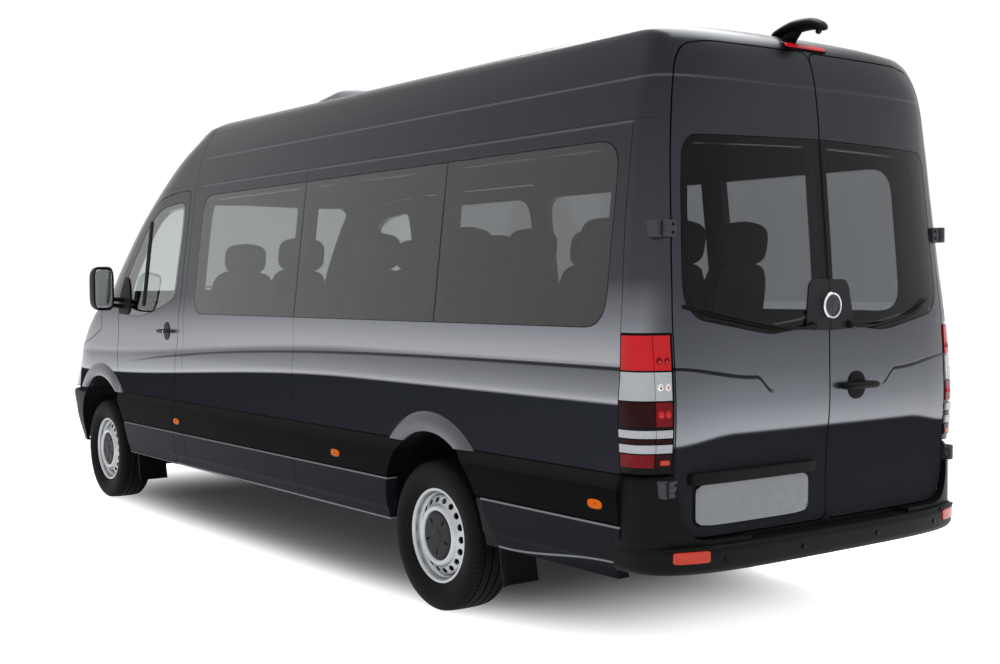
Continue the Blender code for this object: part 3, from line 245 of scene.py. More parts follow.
    def side_y(self, x: np.ndarray, z: np.ndarray, proud: float | np.ndarray = 0.0) -> np.ndarray:
        """Half width at (x, z), moved outwards by proud."""
        x, z = np.broadcast_arrays(np.asarray(x, float), np.asarray(z, float))
        w, rear_s, rear, rear_n, front_s, front, front_n, _ = np.moveaxis(self.at(z), -1, 0)
        back, ahead = (rear_s - x) / (rear_s - rear), (x - front_s) / (front - front_s)
        n = np.where(back > ahead, rear_n, front_n)
        a = np.clip(np.maximum(back, ahead), 0, 0.999)
        return w * (1 - a ** n) ** (1 / n) + proud

    def tail_x(self, y: np.ndarray, z: np.ndarray, proud: float | np.ndarray = 0.0) -> np.ndarray:
        """Where the tail is at (y, z), moved backwards by proud."""
        y, z = np.broadcast_arrays(np.asarray(y, float), np.asarray(z, float))
        w, rear_s, rear, rear_n = np.moveaxis(self.at(z), -1, 0)[:4]
        b = np.clip(np.abs(y) / w, 0, 0.999)
        return rear_s + (rear - rear_s) * (1 - b ** rear_n) ** (1 / rear_n) - proud


    def nose_x(self, y: np.ndarray, z: np.ndarray, proud: float | np.ndarray = 0.0) -> np.ndarray:
        """Where the nose is at (y, z), moved forwards by proud."""
        y, z = np.broadcast_arrays(np.asarray(y, float), np.asarray(z, float))
        w, _, _, _, front_s, front, front_n = np.moveaxis(self.at(z), -1, 0)[:7]
        b = np.clip(np.abs(y) / w, 0, 0.999)
        return front_s + (front - front_s) * (1 - b ** front_n) ** (1 / front_n) + proud


SKIN = Skin(np.array(RINGS))


# ------------------------------------------------------------------ meshes
def grid_faces(rows: int, cols: int, wrap_rows: bool = False, wrap_cols: bool = False) -> np.ndarray:
    """Quads of a grid of rows by cols points, joined end to end along either way where asked."""
    r = np.arange(rows if wrap_rows else rows - 1)[:, None]
    c = np.arange(cols if wrap_cols else cols - 1)[None, :]
    r1, c1 = (r + 1) % rows, (c + 1) % cols
    quads = np.stack(np.broadcast_arrays(r * cols + c, r * cols + c1, r1 * cols + c1, r1 * cols + c), axis=-1)
    return quads.reshape(-1, 4)


def triangles(quads: np.ndarray) -> np.ndarray:
    """Each quad as two triangles."""
    return np.vstack((quads[:, [0, 1, 2]], quads[:, [0, 2, 3]]))


def end_faces(rows: int, cols: int) -> list:
    """The two flat faces that close a grid of rings at its ends."""
    return [list(range(cols)), list(range((rows - 1) * cols, rows * cols))]


def end_fans(rows: int, cols: int) -> np.ndarray:
    """Triangles from a closed grid's first and last ring to the two points that follow the grid."""
    k = np.arange(cols)
    n = (k + 1) % cols
    last = (rows - 1) * cols
    low = np.stack((n, k, np.full(cols, rows * cols)), axis=1)
    high = np.stack((k + last, n + last, np.full(cols, rows * cols + 1)), axis=1)
    return np.vstack((low, high))


def to_object(name: str, verts: np.ndarray, faces: np.ndarray | list) -> bpy.types.Object:
    """A mesh object at the origin, in no collection but the scene's."""
    mesh = bpy.data.meshes.new(name)
    mesh.from_pydata(np.asarray(verts, float).reshape(-1, 3).tolist(), [],
                     faces.tolist() if isinstance(faces, np.ndarray) else faces)
    mesh.validate()
    thing = bpy.data.objects.new(name, mesh)
    bpy.context.scene.collection.objects.link(thing)
    return thing


def outward(thing: bpy.types.Object) -> bpy.types.Object:
    """Turns every face of a closed mesh outwards."""
    shape = bmesh.new()
    shape.from_mesh(thing.data)
    bmesh.ops.remove_doubles(shape, verts=shape.verts, dist=0.000002)
    bmesh.ops.recalc_face_normals(shape, faces=shape.faces)
    shape.to_mesh(thing.data)
    shape.free()
    return thing


def loft(inset: float, low: float | None = None, high: float | None = None, skin: Skin = SKIN) -> bpy.types.Object:
    """The closed body between two heights, its skin moved inwards by inset, in triangles."""
    points = skin.rings(skin.heights(low, high), inset)
    rows, cols = points.shape[:2]
    verts = np.vstack((points.reshape(-1, 3), points[0].mean(axis=0), points[-1].mean(axis=0)))
    faces = np.vstack((triangles(grid_faces(rows, cols, wrap_cols=True)), end_fans(rows, cols)))
    return outward(to_object("loft", verts, faces))


def capped(name: str, rings: np.ndarray) -> bpy.types.Object:
    """Closed rings of points, each joined to the next, with a flat face over either end."""
    rows, cols = rings.shape[:2]
    faces = grid_faces(rows, cols, wrap_cols=True).tolist() + end_faces(rows, cols)
    return outward(to_object(name, rings, faces))


def superellipsoid(half: tuple, square: float, rows: int, cols: int) -> np.ndarray:
    """Rings of points on |x/a|^n + |y/b|^n + |z/c|^n = 1, without the two poles."""
    u = np.linspace(-math.pi / 2, math.pi / 2, rows + 2)[1:-1, None]
    v = np.linspace(0, math.tau, cols, endpoint=False)[None]
    d = np.stack((np.cos(u) * np.cos(v), np.cos(u) * np.sin(v), np.sin(u) + 0 * v), axis=-1)
    reach = np.sum(np.abs(d) ** square, axis=-1, keepdims=True) ** (-1 / square)
    return d * reach * np.array(half)


def prism(outline: np.ndarray | list, axis: str, lo: float, hi: float) -> bpy.types.Object:
    """A flat outline pushed along one axis: (x, z) along y, (y, z) along x, (x, y) along z."""
    line = np.asarray(outline, float)
    order = {"x": (2, 0, 1), "y": (0, 2, 1), "z": (0, 1, 2)}[axis]
    count = len(line)
    flat = np.column_stack((line, np.full(count, lo)))
    high = np.column_stack((line, np.full(count, hi)))
    verts = np.vstack((flat, high))[:, order]
    sides = grid_faces(2, count, wrap_cols=True).tolist()
    return outward(to_object("prism", verts, sides + end_faces(2, count)))


def box(lo: tuple, hi: tuple) -> bpy.types.Object:
    """A box between two corners."""
    return prism([(lo[0], lo[1]), (hi[0], lo[1]), (hi[0], hi[1]), (lo[0], hi[1])], "z", lo[2], hi[2])


def applied(thing: bpy.types.Object) -> bpy.types.Object:
    """The object with its modifiers made real."""
    graph = bpy.context.evaluated_depsgraph_get()
    mesh = bpy.data.meshes.new_from_object(thing.evaluated_get(graph))
    thing.modifiers.clear()
    thing.data = mesh
    return thing


def twin(thing: bpy.types.Object) -> bpy.types.Object:
    """A copy with its own mesh."""
    other = thing.copy()
    other.data = thing.data.copy()
    bpy.context.scene.collection.objects.link(other)
    return other


class Join(Enum):
    """The three ways to join two solids."""

    CUT = "DIFFERENCE"
    COMMON = "INTERSECT"
    FUSE = "UNION"


def join(thing: bpy.types.Object, other: bpy.types.Object, how: Join, keep: bool = False) -> bpy.types.Object:
    """Joins other to thing, and drops other unless it is kept."""
    change = thing.modifiers.new("join", "BOOLEAN")
    change.operation = how.value
    change.object = other
    change.solver = "EXACT"
    applied(thing)
    if not keep:
        bpy.data.objects.remove(other, do_unlink=True)
    return thing


def cut(thing: bpy.types.Object, *others: bpy.types.Object) -> bpy.types.Object:
    """Takes the others out of thing."""
    for other in others:
        join(thing, other, Join.CUT)
    return thing


def common(thing: bpy.types.Object, other: bpy.types.Object) -> bpy.types.Object:
    """Keeps what thing and other share."""
    return join(thing, other, Join.COMMON)


def fillet(outline: np.ndarray | list, radius: float | np.ndarray, steps: int = 5) -> np.ndarray:
    """An outline with its corners rounded: each corner gives way to a quadratic curve between its two legs."""
    points = np.asarray(outline, float)
    before, after = np.roll(points, 1, axis=0) - points, np.roll(points, -1, axis=0) - points
    lb, la = np.linalg.norm(before, axis=1), np.linalg.norm(after, axis=1)
    reach = np.minimum(radius, 0.45 * np.minimum(lb, la))[:, None]
    start, end = points + before / lb[:, None] * reach, points + after / la[:, None] * reach
    t = np.linspace(0, 1, steps + 1)[None, :, None]
    curve = (1 - t) ** 2 * start[:, None] + 2 * t * (1 - t) * points[:, None] + t ** 2 * end[:, None]
    return curve.reshape(-1, 2)


def grown(outline: np.ndarray | list, gap: float) -> np.ndarray:
    """An outline moved outwards by gap, corners mitred."""
    points = np.asarray(outline, float)
    keep = np.linalg.norm(points - np.roll(points, 1, axis=0), axis=1) > 1e-7
    points = points[keep]
    before, after = points - np.roll(points, 1, axis=0), np.roll(points, -1, axis=0) - points
    before /= np.linalg.norm(before, axis=1)[:, None]
    after /= np.linalg.norm(after, axis=1)[:, None]
    x, y = points.T
    turn = np.sign(np.sum(x * np.roll(y, -1) - y * np.roll(x, -1)))
    nb, na = (turn * np.column_stack((d[:, 1], -d[:, 0])) for d in (before, after))
    middle = nb + na
    middle /= np.sum(middle * nb, axis=1)[:, None]
    return points + gap * middle


def mirrored(outline: np.ndarray | list) -> np.ndarray:
    """An outline with its first coordinate turned round."""
    return np.asarray(outline, float) * (-1, 1)


def arch(centre_x: float, size: tuple, grow: float = 0.0, base: float = 0.0, steps: int = 40) -> np.ndarray:
    """A wheel opening: straight sides and a round top."""
    radius, top = size[0] + grow, size[1] - size[0]
    angle = np.linspace(0, math.pi, steps + 1)
    curve = np.column_stack((centre_x + radius * np.cos(angle), top + radius * np.sin(angle)))
    return np.vstack(([centre_x + radius, base], curve, [centre_x - radius, base]))


def span(side: Side, inner: float = 0.62) -> tuple[float, float]:
    """From inner to beyond the body, on one side."""
    return (inner, OUT) if side is Side.LEFT else (-OUT, -inner)


def skin_shade(thing: bpy.types.Object, skin: Skin = SKIN, limit: float = 0.80) -> None:
    """Smooth shading that follows the skin: faces along it take its true direction, others stay flat."""
    mesh = thing.data
    loops = len(mesh.loops)
    index = np.empty(loops, np.int32)
    mesh.loops.foreach_get("vertex_index", index)
    points = np.empty(len(mesh.vertices) * 3)
    mesh.vertices.foreach_get("co", points)
    points = points.reshape(-1, 3)
    flat = np.empty(len(mesh.polygons) * 3)
    mesh.polygons.foreach_get("normal", flat)
    total = np.empty(len(mesh.polygons), np.int32)
    mesh.polygons.foreach_get("loop_total", total)
    face = np.repeat(flat.reshape(-1, 3), total, axis=0)
    true = skin.normals(points)[index]
    along = np.sum(face * true, axis=1)
    chosen = np.where((along > limit)[:, None], true, np.where((along < -limit)[:, None], -true, face))
    mesh.polygons.foreach_set("use_smooth", np.ones(len(mesh.polygons), bool))
    mesh.normals_split_custom_set(chosen.tolist())
    mark = mesh.attributes.new(LINING_MARK, "FLOAT", "CORNER")
    mark.data.foreach_set("value", (along < -limit).astype(np.float32))


def smooth(thing: bpy.types.Object, degrees: float = 35.0) -> None:
    """Smooth shading with edges sharper than so many degrees kept."""
    mesh = thing.data
    mesh.polygons.foreach_set("use_smooth", np.ones(len(mesh.polygons), bool))
    mesh.set_sharp_from_angle(angle=math.radians(degrees))


Place = Callable[[np.ndarray, np.ndarray, np.ndarray], np.ndarray]


def on_side(side: Side) -> Place:
    """Places (x, z, height) on one side of the body."""
    def place(a: np.ndarray, b: np.ndarray, h: np.ndarray) -> np.ndarray:
        """The point at x, z and a height above this side."""
        return np.stack(np.broadcast_arrays(a, side.value * SKIN.side_y(a, b, h), b), axis=-1)
    return place


def on_tail(a: np.ndarray, b: np.ndarray, h: np.ndarray) -> np.ndarray:
    """Places (y, z, height) on the tail."""
    return np.stack(np.broadcast_arrays(SKIN.tail_x(a, b, h), a, b), axis=-1)


def on_nose(a: np.ndarray, b: np.ndarray, h: np.ndarray) -> np.ndarray:
    """Places (y, z, height) on the nose."""
    return np.stack(np.broadcast_arrays(SKIN.nose_x(a, b, h), a, b), axis=-1)


def pillow(name: str, place: Place, centre: tuple, half: tuple, proud: float, square: float = 6.0, crown: float = 5.0,
           sink: float = 0.003, lean: float = 0.0, rings: int = 8, steps: int = 48) -> bpy.types.Object:
    """A shallow pad with a rounded rim, sitting on a surface.

    At share r of the way out and angle t, the pad is at centre + half r (C, S), with C and S from a
    superellipse, and stands proud (1 - r^crown)^(1/crown) high; a flat back closes it below the surface.
    Args:
        place: gives the point for two coordinates on the surface and a height.
        centre, half: middle and half sizes in those coordinates.
        proud, sink: height above and depth below the surface.
        square: exponent of the outline, 2 for an ellipse.
        crown: exponent of the rim's rounding.
        lean: how far the first coordinate shifts per metre of the second.
    """
    angle = np.linspace(0, math.tau, steps, endpoint=False)
    c, s = np.cos(angle), np.sin(angle)
    reach = (np.abs(c) ** square + np.abs(s) ** square) ** (-1 / square)
    r = np.sin(np.linspace(0.06, 1, rings) * math.pi / 2)[:, None]
    a, b = centre[0] + half[0] * r * c * reach, centre[1] + half[1] * r * s * reach
    a = a + lean * (b - centre[1])
    h = proud * np.clip(1 - r ** crown, 0, 1) ** (1 / crown) * np.ones_like(a)
    front = place(a, b, h)
    back = place(a[-1:], b[-1:], np.full_like(a[-1:], -sink))
    tip = place(np.array([centre[0]]), np.array([centre[1]]), np.array([proud]))
    heel = place(np.array([centre[0]]), np.array([centre[1]]), np.array([-sink]))
    verts = np.vstack((front.reshape(-1, 3), back.reshape(-1, 3), tip, heel))
    k = np.arange(steps)
    n = (k + 1) % steps
    top, low = rings * steps + steps, rings * steps + steps + 1
    faces = grid_faces(rings + 1, steps, wrap_cols=True).tolist()
    faces += np.stack((k, n, np.full(steps, top)), axis=1).tolist()
    faces += np.stack((rings * steps + k, rings * steps + n, np.full(steps, low)), axis=1).tolist()
    thing = outward(to_object(name, verts, faces))
    smooth(thing, 50)
    return thing


def tube(name: str, path: np.ndarray | list, radius: float | np.ndarray, steps: int = 14, flat: float = 1.0,
         up: tuple = (0, 0, 1), loop: bool = False) -> bpy.types.Object:
    """A round or flattened bar carried along a path, with closed ends.

    Each ring is path + radius (cos t U + flat sin t V), with U and V square to the path.
    """
    path = np.asarray(path, float)
    count = len(path)
    run = np.roll(path, -1, axis=0) - np.roll(path, 1, axis=0) if loop else np.gradient(path, axis=0)
    run /= np.linalg.norm(run, axis=1)[:, None]
    u = np.cross(run, np.asarray(up, float))
    u /= np.linalg.norm(u, axis=1)[:, None]
    v = np.cross(u, run)
    t = np.linspace(0, math.tau, steps, endpoint=False)
    r = np.broadcast_to(np.asarray(radius, float), (count,))[:, None, None]
    rings = path[:, None] + r * (np.cos(t)[None, :, None] * u[:, None] + flat * np.sin(t)[None, :, None] * v[:, None])
    faces = grid_faces(count, steps, wrap_rows=loop, wrap_cols=True).tolist()
    if not loop:
        faces += end_faces(count, steps)
    thing = outward(to_object(name, rings, faces))
    smooth(thing, 45)
    return thing


def revolved(name: str, profile: np.ndarray | list, centre: tuple, steps: int, flip: int = 1,
             degrees: float = 30.0) -> bpy.types.Object:
    """A closed (radius, across) profile turned about the Y axis through centre."""
    line = np.asarray(profile, float)
    t = np.linspace(0, math.tau, steps, endpoint=False)[:, None]
    x, z = line[:, 0] * np.cos(t), line[:, 0] * np.sin(t)
    y = np.broadcast_to(flip * line[:, 1], x.shape)
    verts = np.stack((x, y, z), axis=-1) + np.asarray(centre, float)
    thing = outward(to_object(name, verts, grid_faces(steps, len(line), wrap_rows=True, wrap_cols=True)))
    smooth(thing, degrees)
    return thing


def curve_through(points: list, count: int) -> np.ndarray:
    """So many points, evenly spaced along a Catmull-Rom curve through the given ones."""
    p = np.asarray(points, float)
    ends = np.vstack((2 * p[0] - p[1], p, 2 * p[-1] - p[-2]))
    t = np.linspace(0, len(p) - 1, 40 * (len(p) - 1) + 1)
    k = np.minimum(t.astype(int), len(p) - 2)
    f = (t - k)[:, None]
    a, b, c, d = ends[k], ends[k + 1], ends[k + 2], ends[k + 3]
    fine = 0.5 * (2 * b + (c - a) * f + (2 * a - 5 * b + 4 * c - d) * f ** 2 + (3 * b - a - 3 * c + d) * f ** 3)
    far = np.concatenate(([0], np.cumsum(np.linalg.norm(np.diff(fine, axis=0), axis=1))))
    want = np.linspace(0, far[-1], count)
    return np.column_stack([np.interp(want, far, fine[:, j]) for j in range(p.shape[1])])


# ------------------------------------------------------------------ finishes
def linear(colour: str) -> tuple[float, float, float, float]:
    """An sRGB hex colour as linear red, green, blue and alpha."""
    rgb = np.array([int(colour[k:k + 2], 16) for k in (1, 3, 5)]) / 255
    return (*np.where(rgb <= 0.04045, rgb / 12.92, ((rgb + 0.055) / 1.055) ** 2.4).tolist(), 1.0)


def node(tree: bpy.types.NodeTree, kind: str, feeds: dict | None = None, **settings) -> bpy.types.Node:
    """Adds a node, sets its properties, and sets or links its inputs."""
    made = tree.nodes.new(kind)
    for name, value in settings.items():
        setattr(made, name, value)
    for key, value in (feeds or {}).items():
        if isinstance(value, bpy.types.NodeSocket):
            tree.links.new(value, made.inputs[key])
        else:
            made.inputs[key].default_value = value
    return made


class Pattern(Enum):
    """What the surface of a finish carries."""

    FLAKE = "flakes under a clear coat"
    GRAIN = "fine moulded leather grain"
    CAST = "rough cast or sprayed metal"
    WEAVE = "woven yarn"
    LENS = "moulded prisms behind a smooth face"
    RUBBER = "vulcanised rubber with fine flow marks"
    CLEAR = "polished glass"
    PLAIN = "smooth sprayed or polished metal"


@dataclass(frozen=True)
class Finish:
    """One real material: its base colours, gloss and surface pattern."""

    name: str
    slot: str
    colour: str
    second: str
    pattern: Pattern
    rough: float = 0.5
    metal: float = 0.0
    coat: float = 0.0
    cell: float = 0.002          # size of the pattern in metres
    depth: float = 0.0002        # of the relief in metres
    ior: float = 1.5
    gloss: float = 0.5           # specular level
    bands: tuple = ()            # height and colour, upwards, where the colour changes with height
    sweep: float = 0.0           # how far the lowest bands climb behind the rear wheel

    def make(self) -> bpy.types.Material:
        """Builds the material once and gives it from then on."""
        made = bpy.data.materials.get(self.name)
        if made is None:
            made = bpy.data.materials.new(self.name)
            made.use_nodes = True
            tree = made.node_tree
            tree.nodes.clear()
            self.fill(tree)
        return made

    def fill(self, tree: bpy.types.NodeTree) -> None:
        """Adds the shader, with its colour, roughness and relief from the pattern."""
        where = node(tree, "ShaderNodeTexCoord").outputs["Object"]
        shader = node(tree, "ShaderNodeBsdfPrincipled", {"Metallic": self.metal, "Roughness": self.rough,
                                                        "Coat Weight": self.coat, "Coat Roughness": 0.03,
                                                        "Specular IOR Level": self.gloss})
        if self.metal < 0.5:
            shader.inputs["IOR"].default_value = self.ior
        out = node(tree, "ShaderNodeOutputMaterial", {"Surface": shader.outputs[0]})
        out.is_active_output = True
        if self.pattern is Pattern.CLEAR:
            shader.inputs["Base Color"].default_value = linear(self.colour)
            shader.inputs["Transmission Weight"].default_value = 1.0
            return
        if self.pattern in (Pattern.FLAKE, Pattern.LENS):
            spots = node(tree, "ShaderNodeTexVoronoi", {"Vector": where, "Scale": 1 / self.cell}).outputs["Color"]
            share = node(tree, "ShaderNodeSeparateColor", {"Color": spots}).outputs["Red"]
        elif self.pattern is Pattern.WEAVE:
            threads = {"Vector": where, "Scale": 0.5 / self.cell, "Distortion": 0.6}
            over, under = (node(tree, "ShaderNodeTexWave", threads, bands_direction=way).outputs["Fac"]
                           for way in ("DIAGONAL", "Z"))
            share = node(tree, "ShaderNodeMath", {0: over, 1: under}, operation="MULTIPLY").outputs[0]
        else:
            share = node(tree, "ShaderNodeTexNoise", {"Vector": where, "Scale": 1 / self.cell, "Detail": 4.0,
                                                      "Roughness": 0.6}).outputs["Fac"]
        broad = node(tree, "ShaderNodeTexNoise", {"Vector": where, "Scale": 2.2, "Detail": 3.0}).outputs["Fac"]
        both = node(tree, "ShaderNodeMath", {0: share, 1: broad}, operation="MULTIPLY_ADD")
        both.inputs[1].default_value = 0.75
        tree.links.new(share, both.inputs[0])
        half = node(tree, "ShaderNodeMath", {0: broad, 1: 0.25}, operation="MULTIPLY").outputs[0]
        tree.links.new(half, both.inputs[2])
        mixed = node(tree, "ShaderNodeMix", {"Factor": both.outputs[0]}, data_type="RGBA")
        mixed.inputs["A"].default_value, mixed.inputs["B"].default_value = linear(self.colour), linear(self.second)
        colour = mixed.outputs["Result"]
        # Bands paint light and shade by height: painted reflections on the body lacquer, painted highlights and shade
        # on the sill and moulding.
        if self.bands:
            if self.pattern is Pattern.FLAKE:
                colour = self.two_tone(tree, where, colour, shader)
            else:
                xyz = node(tree, "ShaderNodeSeparateXYZ", {"Vector": where}).outputs
                climb = self.sums(tree, "MULTIPLY", self.rise(tree, xyz["X"], -2.40, -3.15, self.sweep),
                                  self.rise(tree, xyz["Z"], 0.54, 0.50))
                level = self.sums(tree, "SUBTRACT", xyz["Z"], climb)
                colour = self.blend(tree, 0.85, colour, self.ramp(tree, level, self.bands))
        tree.links.new(colour, shader.inputs["Base Color"])
        if self.pattern is not Pattern.FLAKE:
            change = node(tree, "ShaderNodeMapRange", {"Value": broad, "To Min": self.rough * 0.85,
                                                       "To Max": min(1.0, self.rough * 1.15)})
            tree.links.new(change.outputs[0], shader.inputs["Roughness"])
            relief = node(tree, "ShaderNodeBump", {"Height": share, "Distance": self.depth, "Strength": 0.6})
            tree.links.new(relief.outputs[0], shader.inputs["Normal"])

    def ramp(self, tree: bpy.types.NodeTree, level: bpy.types.NodeSocket, bands: tuple) -> bpy.types.NodeSocket:
        """Colours that change with a height, between the lowest and highest band."""
        low, high = bands[0][0], bands[-1][0]
        scale = node(tree, "ShaderNodeMapRange", {"Value": level, "From Min": low, "From Max": high}).outputs[0]
        made = node(tree, "ShaderNodeValToRGB", {"Fac": scale})
        stops = made.color_ramp.elements
        for k, (z, colour) in enumerate(bands):
            stop = stops[0] if k == 0 else stops[-1] if k == len(bands) - 1 else stops.new((z - low) / (high - low))
            stop.color = linear(colour)
        return made.outputs["Color"]

    def blend(self, tree: bpy.types.NodeTree, share: bpy.types.NodeSocket | float, low: bpy.types.NodeSocket | tuple,
              high: bpy.types.NodeSocket | tuple) -> bpy.types.NodeSocket:
        """One colour turning into another."""
        mixed = node(tree, "ShaderNodeMix", {"Factor": share, "A": low, "B": high}, data_type="RGBA")
        return mixed.outputs["Result"]

    @staticmethod
    def rise(tree: bpy.types.NodeTree, value: bpy.types.NodeSocket, low: float, high: float,
             top: float = 1.0) -> bpy.types.NodeSocket:
        """0 to top as the value goes smoothly from low to high."""
        return node(tree, "ShaderNodeMapRange", {"Value": value, "From Min": low, "From Max": high, "To Max": top},
                    interpolation_type="SMOOTHSTEP").outputs[0]

    @staticmethod
    def sums(tree: bpy.types.NodeTree, how: str, *values: bpy.types.NodeSocket | float) -> bpy.types.NodeSocket:
        """The result of one arithmetic node."""
        return node(tree, "ShaderNodeMath", dict(enumerate(values)), operation=how).outputs[0]

    def two_tone(self, tree: bpy.types.NodeTree, where: bpy.types.NodeSocket, colour: bpy.types.NodeSocket,
                 shader: bpy.types.Node) -> bpy.types.NodeSocket:
        """Paints light and shade into the lacquer by height as painted reflections, presses the belt line and paints a
        shadow line into it.

        On the side the line lies at 1.208 - 0.0019 (x + 3.19)^2.8, and the painted dark reflection on the lower body
        ends at 1.072 - 0.14 s, with s running smoothly from 0 at the middle of the van to 1 at the nose.  On the tail
        the line drops 0.045 and then 0.06 towards the middle, and the painted dark reflection on the lower body ends at
        0.945.
        """
        xyz = node(tree, "ShaderNodeSeparateXYZ", {"Vector": where}).outputs
        across = self.sums(tree, "ABSOLUTE", xyz["Y"])
        level = self.sums(tree, "ADD", xyz["Z"], self.rise(tree, xyz["X"], -1.2, 2.7, 0.140))
        side = self.creases(tree, xyz, self.ramp(tree, level, self.bands))
        low = self.sums(tree, "ADD", xyz["Z"], self.rise(tree, across, 0.55, 0.86, 0.035))
        behind = self.rise(tree, xyz["X"], -3.28, -3.35)
        shaded = self.blend(tree, behind, side, self.ramp(tree, low, TAIL_BANDS))
        two = self.blend(tree, 0.03, shaded, colour)
        on_side, on_rear = self.rise(tree, level, 1.066, 1.078), self.rise(tree, low, 0.936, 0.950)
        bright = self.sums(tree, "MULTIPLY_ADD", self.sums(tree, "SUBTRACT", on_rear, on_side), behind, on_side)
        lining = node(tree, "ShaderNodeAttribute", attribute_name=LINING_MARK).outputs["Fac"]
        outer = self.sums(tree, "SUBTRACT", 1.0, lining)
        polish = self.sums(tree, "MULTIPLY", bright, outer)
        for key, value in (("Roughness", (0.42, self.rough)), ("Metallic", (0.0, self.metal)),
                           ("Specular IOR Level", (0.0, self.gloss))):
            change = node(tree, "ShaderNodeMapRange", {"Value": polish, "To Min": value[0], "To Max": value[1]})
            tree.links.new(change.outputs[0], shader.inputs[key])
        ahead = self.sums(tree, "MAXIMUM", self.sums(tree, "ADD", xyz["X"], BELT_END_X), 0.0)
        bent = self.sums(tree, "MULTIPLY_ADD", self.sums(tree, "POWER", ahead, BELT_POWER), BELT_BEND,
                         xyz["Z"])
        drop = self.sums(tree, "ADD", self.rise(tree, across, 0.86, 0.44, 0.045),
                         self.rise(tree, across, 0.44, 0.35, 0.060))
        dropped = self.sums(tree, "MULTIPLY", drop, behind)
        line = self.sums(tree, "ADD", bent, dropped)
        middle = self.sums(tree, "MULTIPLY", self.rise(tree, across, 0.37, 0.33), behind)
        front = self.sums(tree, "SUBTRACT", self.rise(tree, xyz["X"], 2.00, 1.30), middle)
        away = self.sums(tree, "ABSOLUTE", self.sums(tree, "SUBTRACT", line, BELT_Z))
        within = self.sums(tree, "MULTIPLY", self.rise(tree, away, 0.0105, 0.0045, 0.95), front)
        relief = node(tree, "ShaderNodeBump", {"Height": within, "Distance": 0.004, "Strength": 1.0}, invert=True)
        for name in ("Normal", "Coat Normal"):
            tree.links.new(relief.outputs[0], shader.inputs[name])
        # Painted shadow: the pressed belt line is coloured near black over its bump.
        return self.blend(tree, lining, self.blend(tree, within, two, linear("#101114")), linear("#121213"))

    def creases(self, tree: bpy.types.NodeTree, xyz: bpy.types.NodeSocket,
                colour: bpy.types.NodeSocket) -> bpy.types.NodeSocket:
        """Paints highlights on the two press lines along the roof moulding, behind the cab and ahead of the tail."""
        for z, rear in ((2.176, -3.17), (2.352, -3.6)):
            away = self.sums(tree, "COMPARE", xyz["Z"], z, 0.005)
            behind = self.sums(tree, "LESS_THAN", xyz["X"], 0.90)
            inside = self.sums(tree, "GREATER_THAN", xyz["X"], rear)
            share = self.sums(tree, "MULTIPLY", self.sums(tree, "MULTIPLY", away, behind), inside)
            colour = self.blend(tree, self.sums(tree, "MULTIPLY", share, 0.22), colour, linear("#8c8e93"))
        return colour


# Painted reflections on the tail, by height: a dark band below, light bands above it, darker towards the roof.
TAIL_BANDS = ((0.500, "#303236"), (0.938, "#2a2c30"), (0.950, "#838489"), (1.060, "#6c6e73"), (1.196, "#56585d"),
              (1.216, "#55575c"), (1.360, "#4a4c51"), (1.560, "#3a3c41"), (2.150, "#33353a"), (2.510, "#303237"))
# Painted reflections in bands by height: painted light along the shoulders, painted dark below and towards the roof,
# with fine flake close up.
PAINT = Finish("dark_grey_metallic_lacquer", "paint", "#54575e", "#6b6e76", Pattern.FLAKE, 0.26, 0.85, 0.0, 0.0016,
               gloss=0.30,
               bands=((0.800, "#303238"), (1.068, "#2c2e34"), (1.076, "#a2a3a8"), (1.105, "#85878c"),
                      (1.202, "#57595e"), (1.232, "#9b9ca1"), (1.370, "#7c7e84"), (1.560, "#3c3e43"),
                      (2.150, "#303237"), (2.500, "#25272c")))
# The same lacquer darkened as painted shade, with two painted highlights along its pressed edges.
SILL_PAINT = Finish("dark_grey_metallic_lacquer_on_sill", "paint", "#16181c", "#1e2024", Pattern.PLAIN, 0.36,
                    cell=0.3, depth=0.00001, gloss=0.02, sweep=0.060,
                    bands=((0.316, "#121417"), (0.377, "#1e2025"), (0.380, "#b4b6ba"), (0.385, "#a4a6aa"),
                           (0.388, "#23252b"), (0.480, "#202228"), (0.583, "#25272d"), (0.586, "#a4a6aa"),
                           (0.592, "#c0c2c6")))
# Soft dull black with a fine grain.
BLACK = Finish("grained_black_polypropylene", "black_plastic", "#0d0d0d", "#151515", Pattern.GRAIN, 0.5, cell=0.0012,
               gloss=0.08)
# Dull black with a painted highlight on the facet along its top, and darker at its top and bottom edges.
MOULDING = Finish("grained_black_side_moulding", "black_plastic", "#101010", "#161616", Pattern.GRAIN, 0.5,
                  cell=0.0012, gloss=0.01,
                  bands=((0.592, "#060606"), (0.603, "#080808"), (0.609, "#151515"), (0.738, "#121212"),
                         (0.743, "#1f1f1f"), (0.792, "#272727"), (0.797, "#060606")))
# Wet black with sharp reflections.
GLOSS_BLACK = Finish("glossy_black_acrylic", "black_plastic", "#050505", "#090909", Pattern.PLAIN, 0.12,
                     cell=0.02, depth=0.00001, gloss=0.08)
# Grey glass with the seats as dark shapes behind it.
PRIVACY = Finish("tinted_safety_glass", "tinted_glass", "#9fa1a3", "#9fa1a3", Pattern.CLEAR, 0.0, ior=1.45)
# Nearly the same tint with little reflection, so the dark cabin shows through.
REAR_GLASS = Finish("dark_tinted_safety_glass", "tinted_glass", "#a2a4a6", "#a2a4a6", Pattern.CLEAR, 0.0, ior=1.2)
# Bright, faintly green glass.
CLEAR_GLASS = Finish("clear_safety_glass", "clear_glass", "#d8dedb", "#d8dedb", Pattern.CLEAR, 0.0, ior=1.5)
# An even black edge that hides the posts.
FRIT = Finish("black_fired_glass_border", "black_plastic", "#040404", "#070707", Pattern.PLAIN, 0.35, cell=0.01,
              depth=0.00001, gloss=0.06)
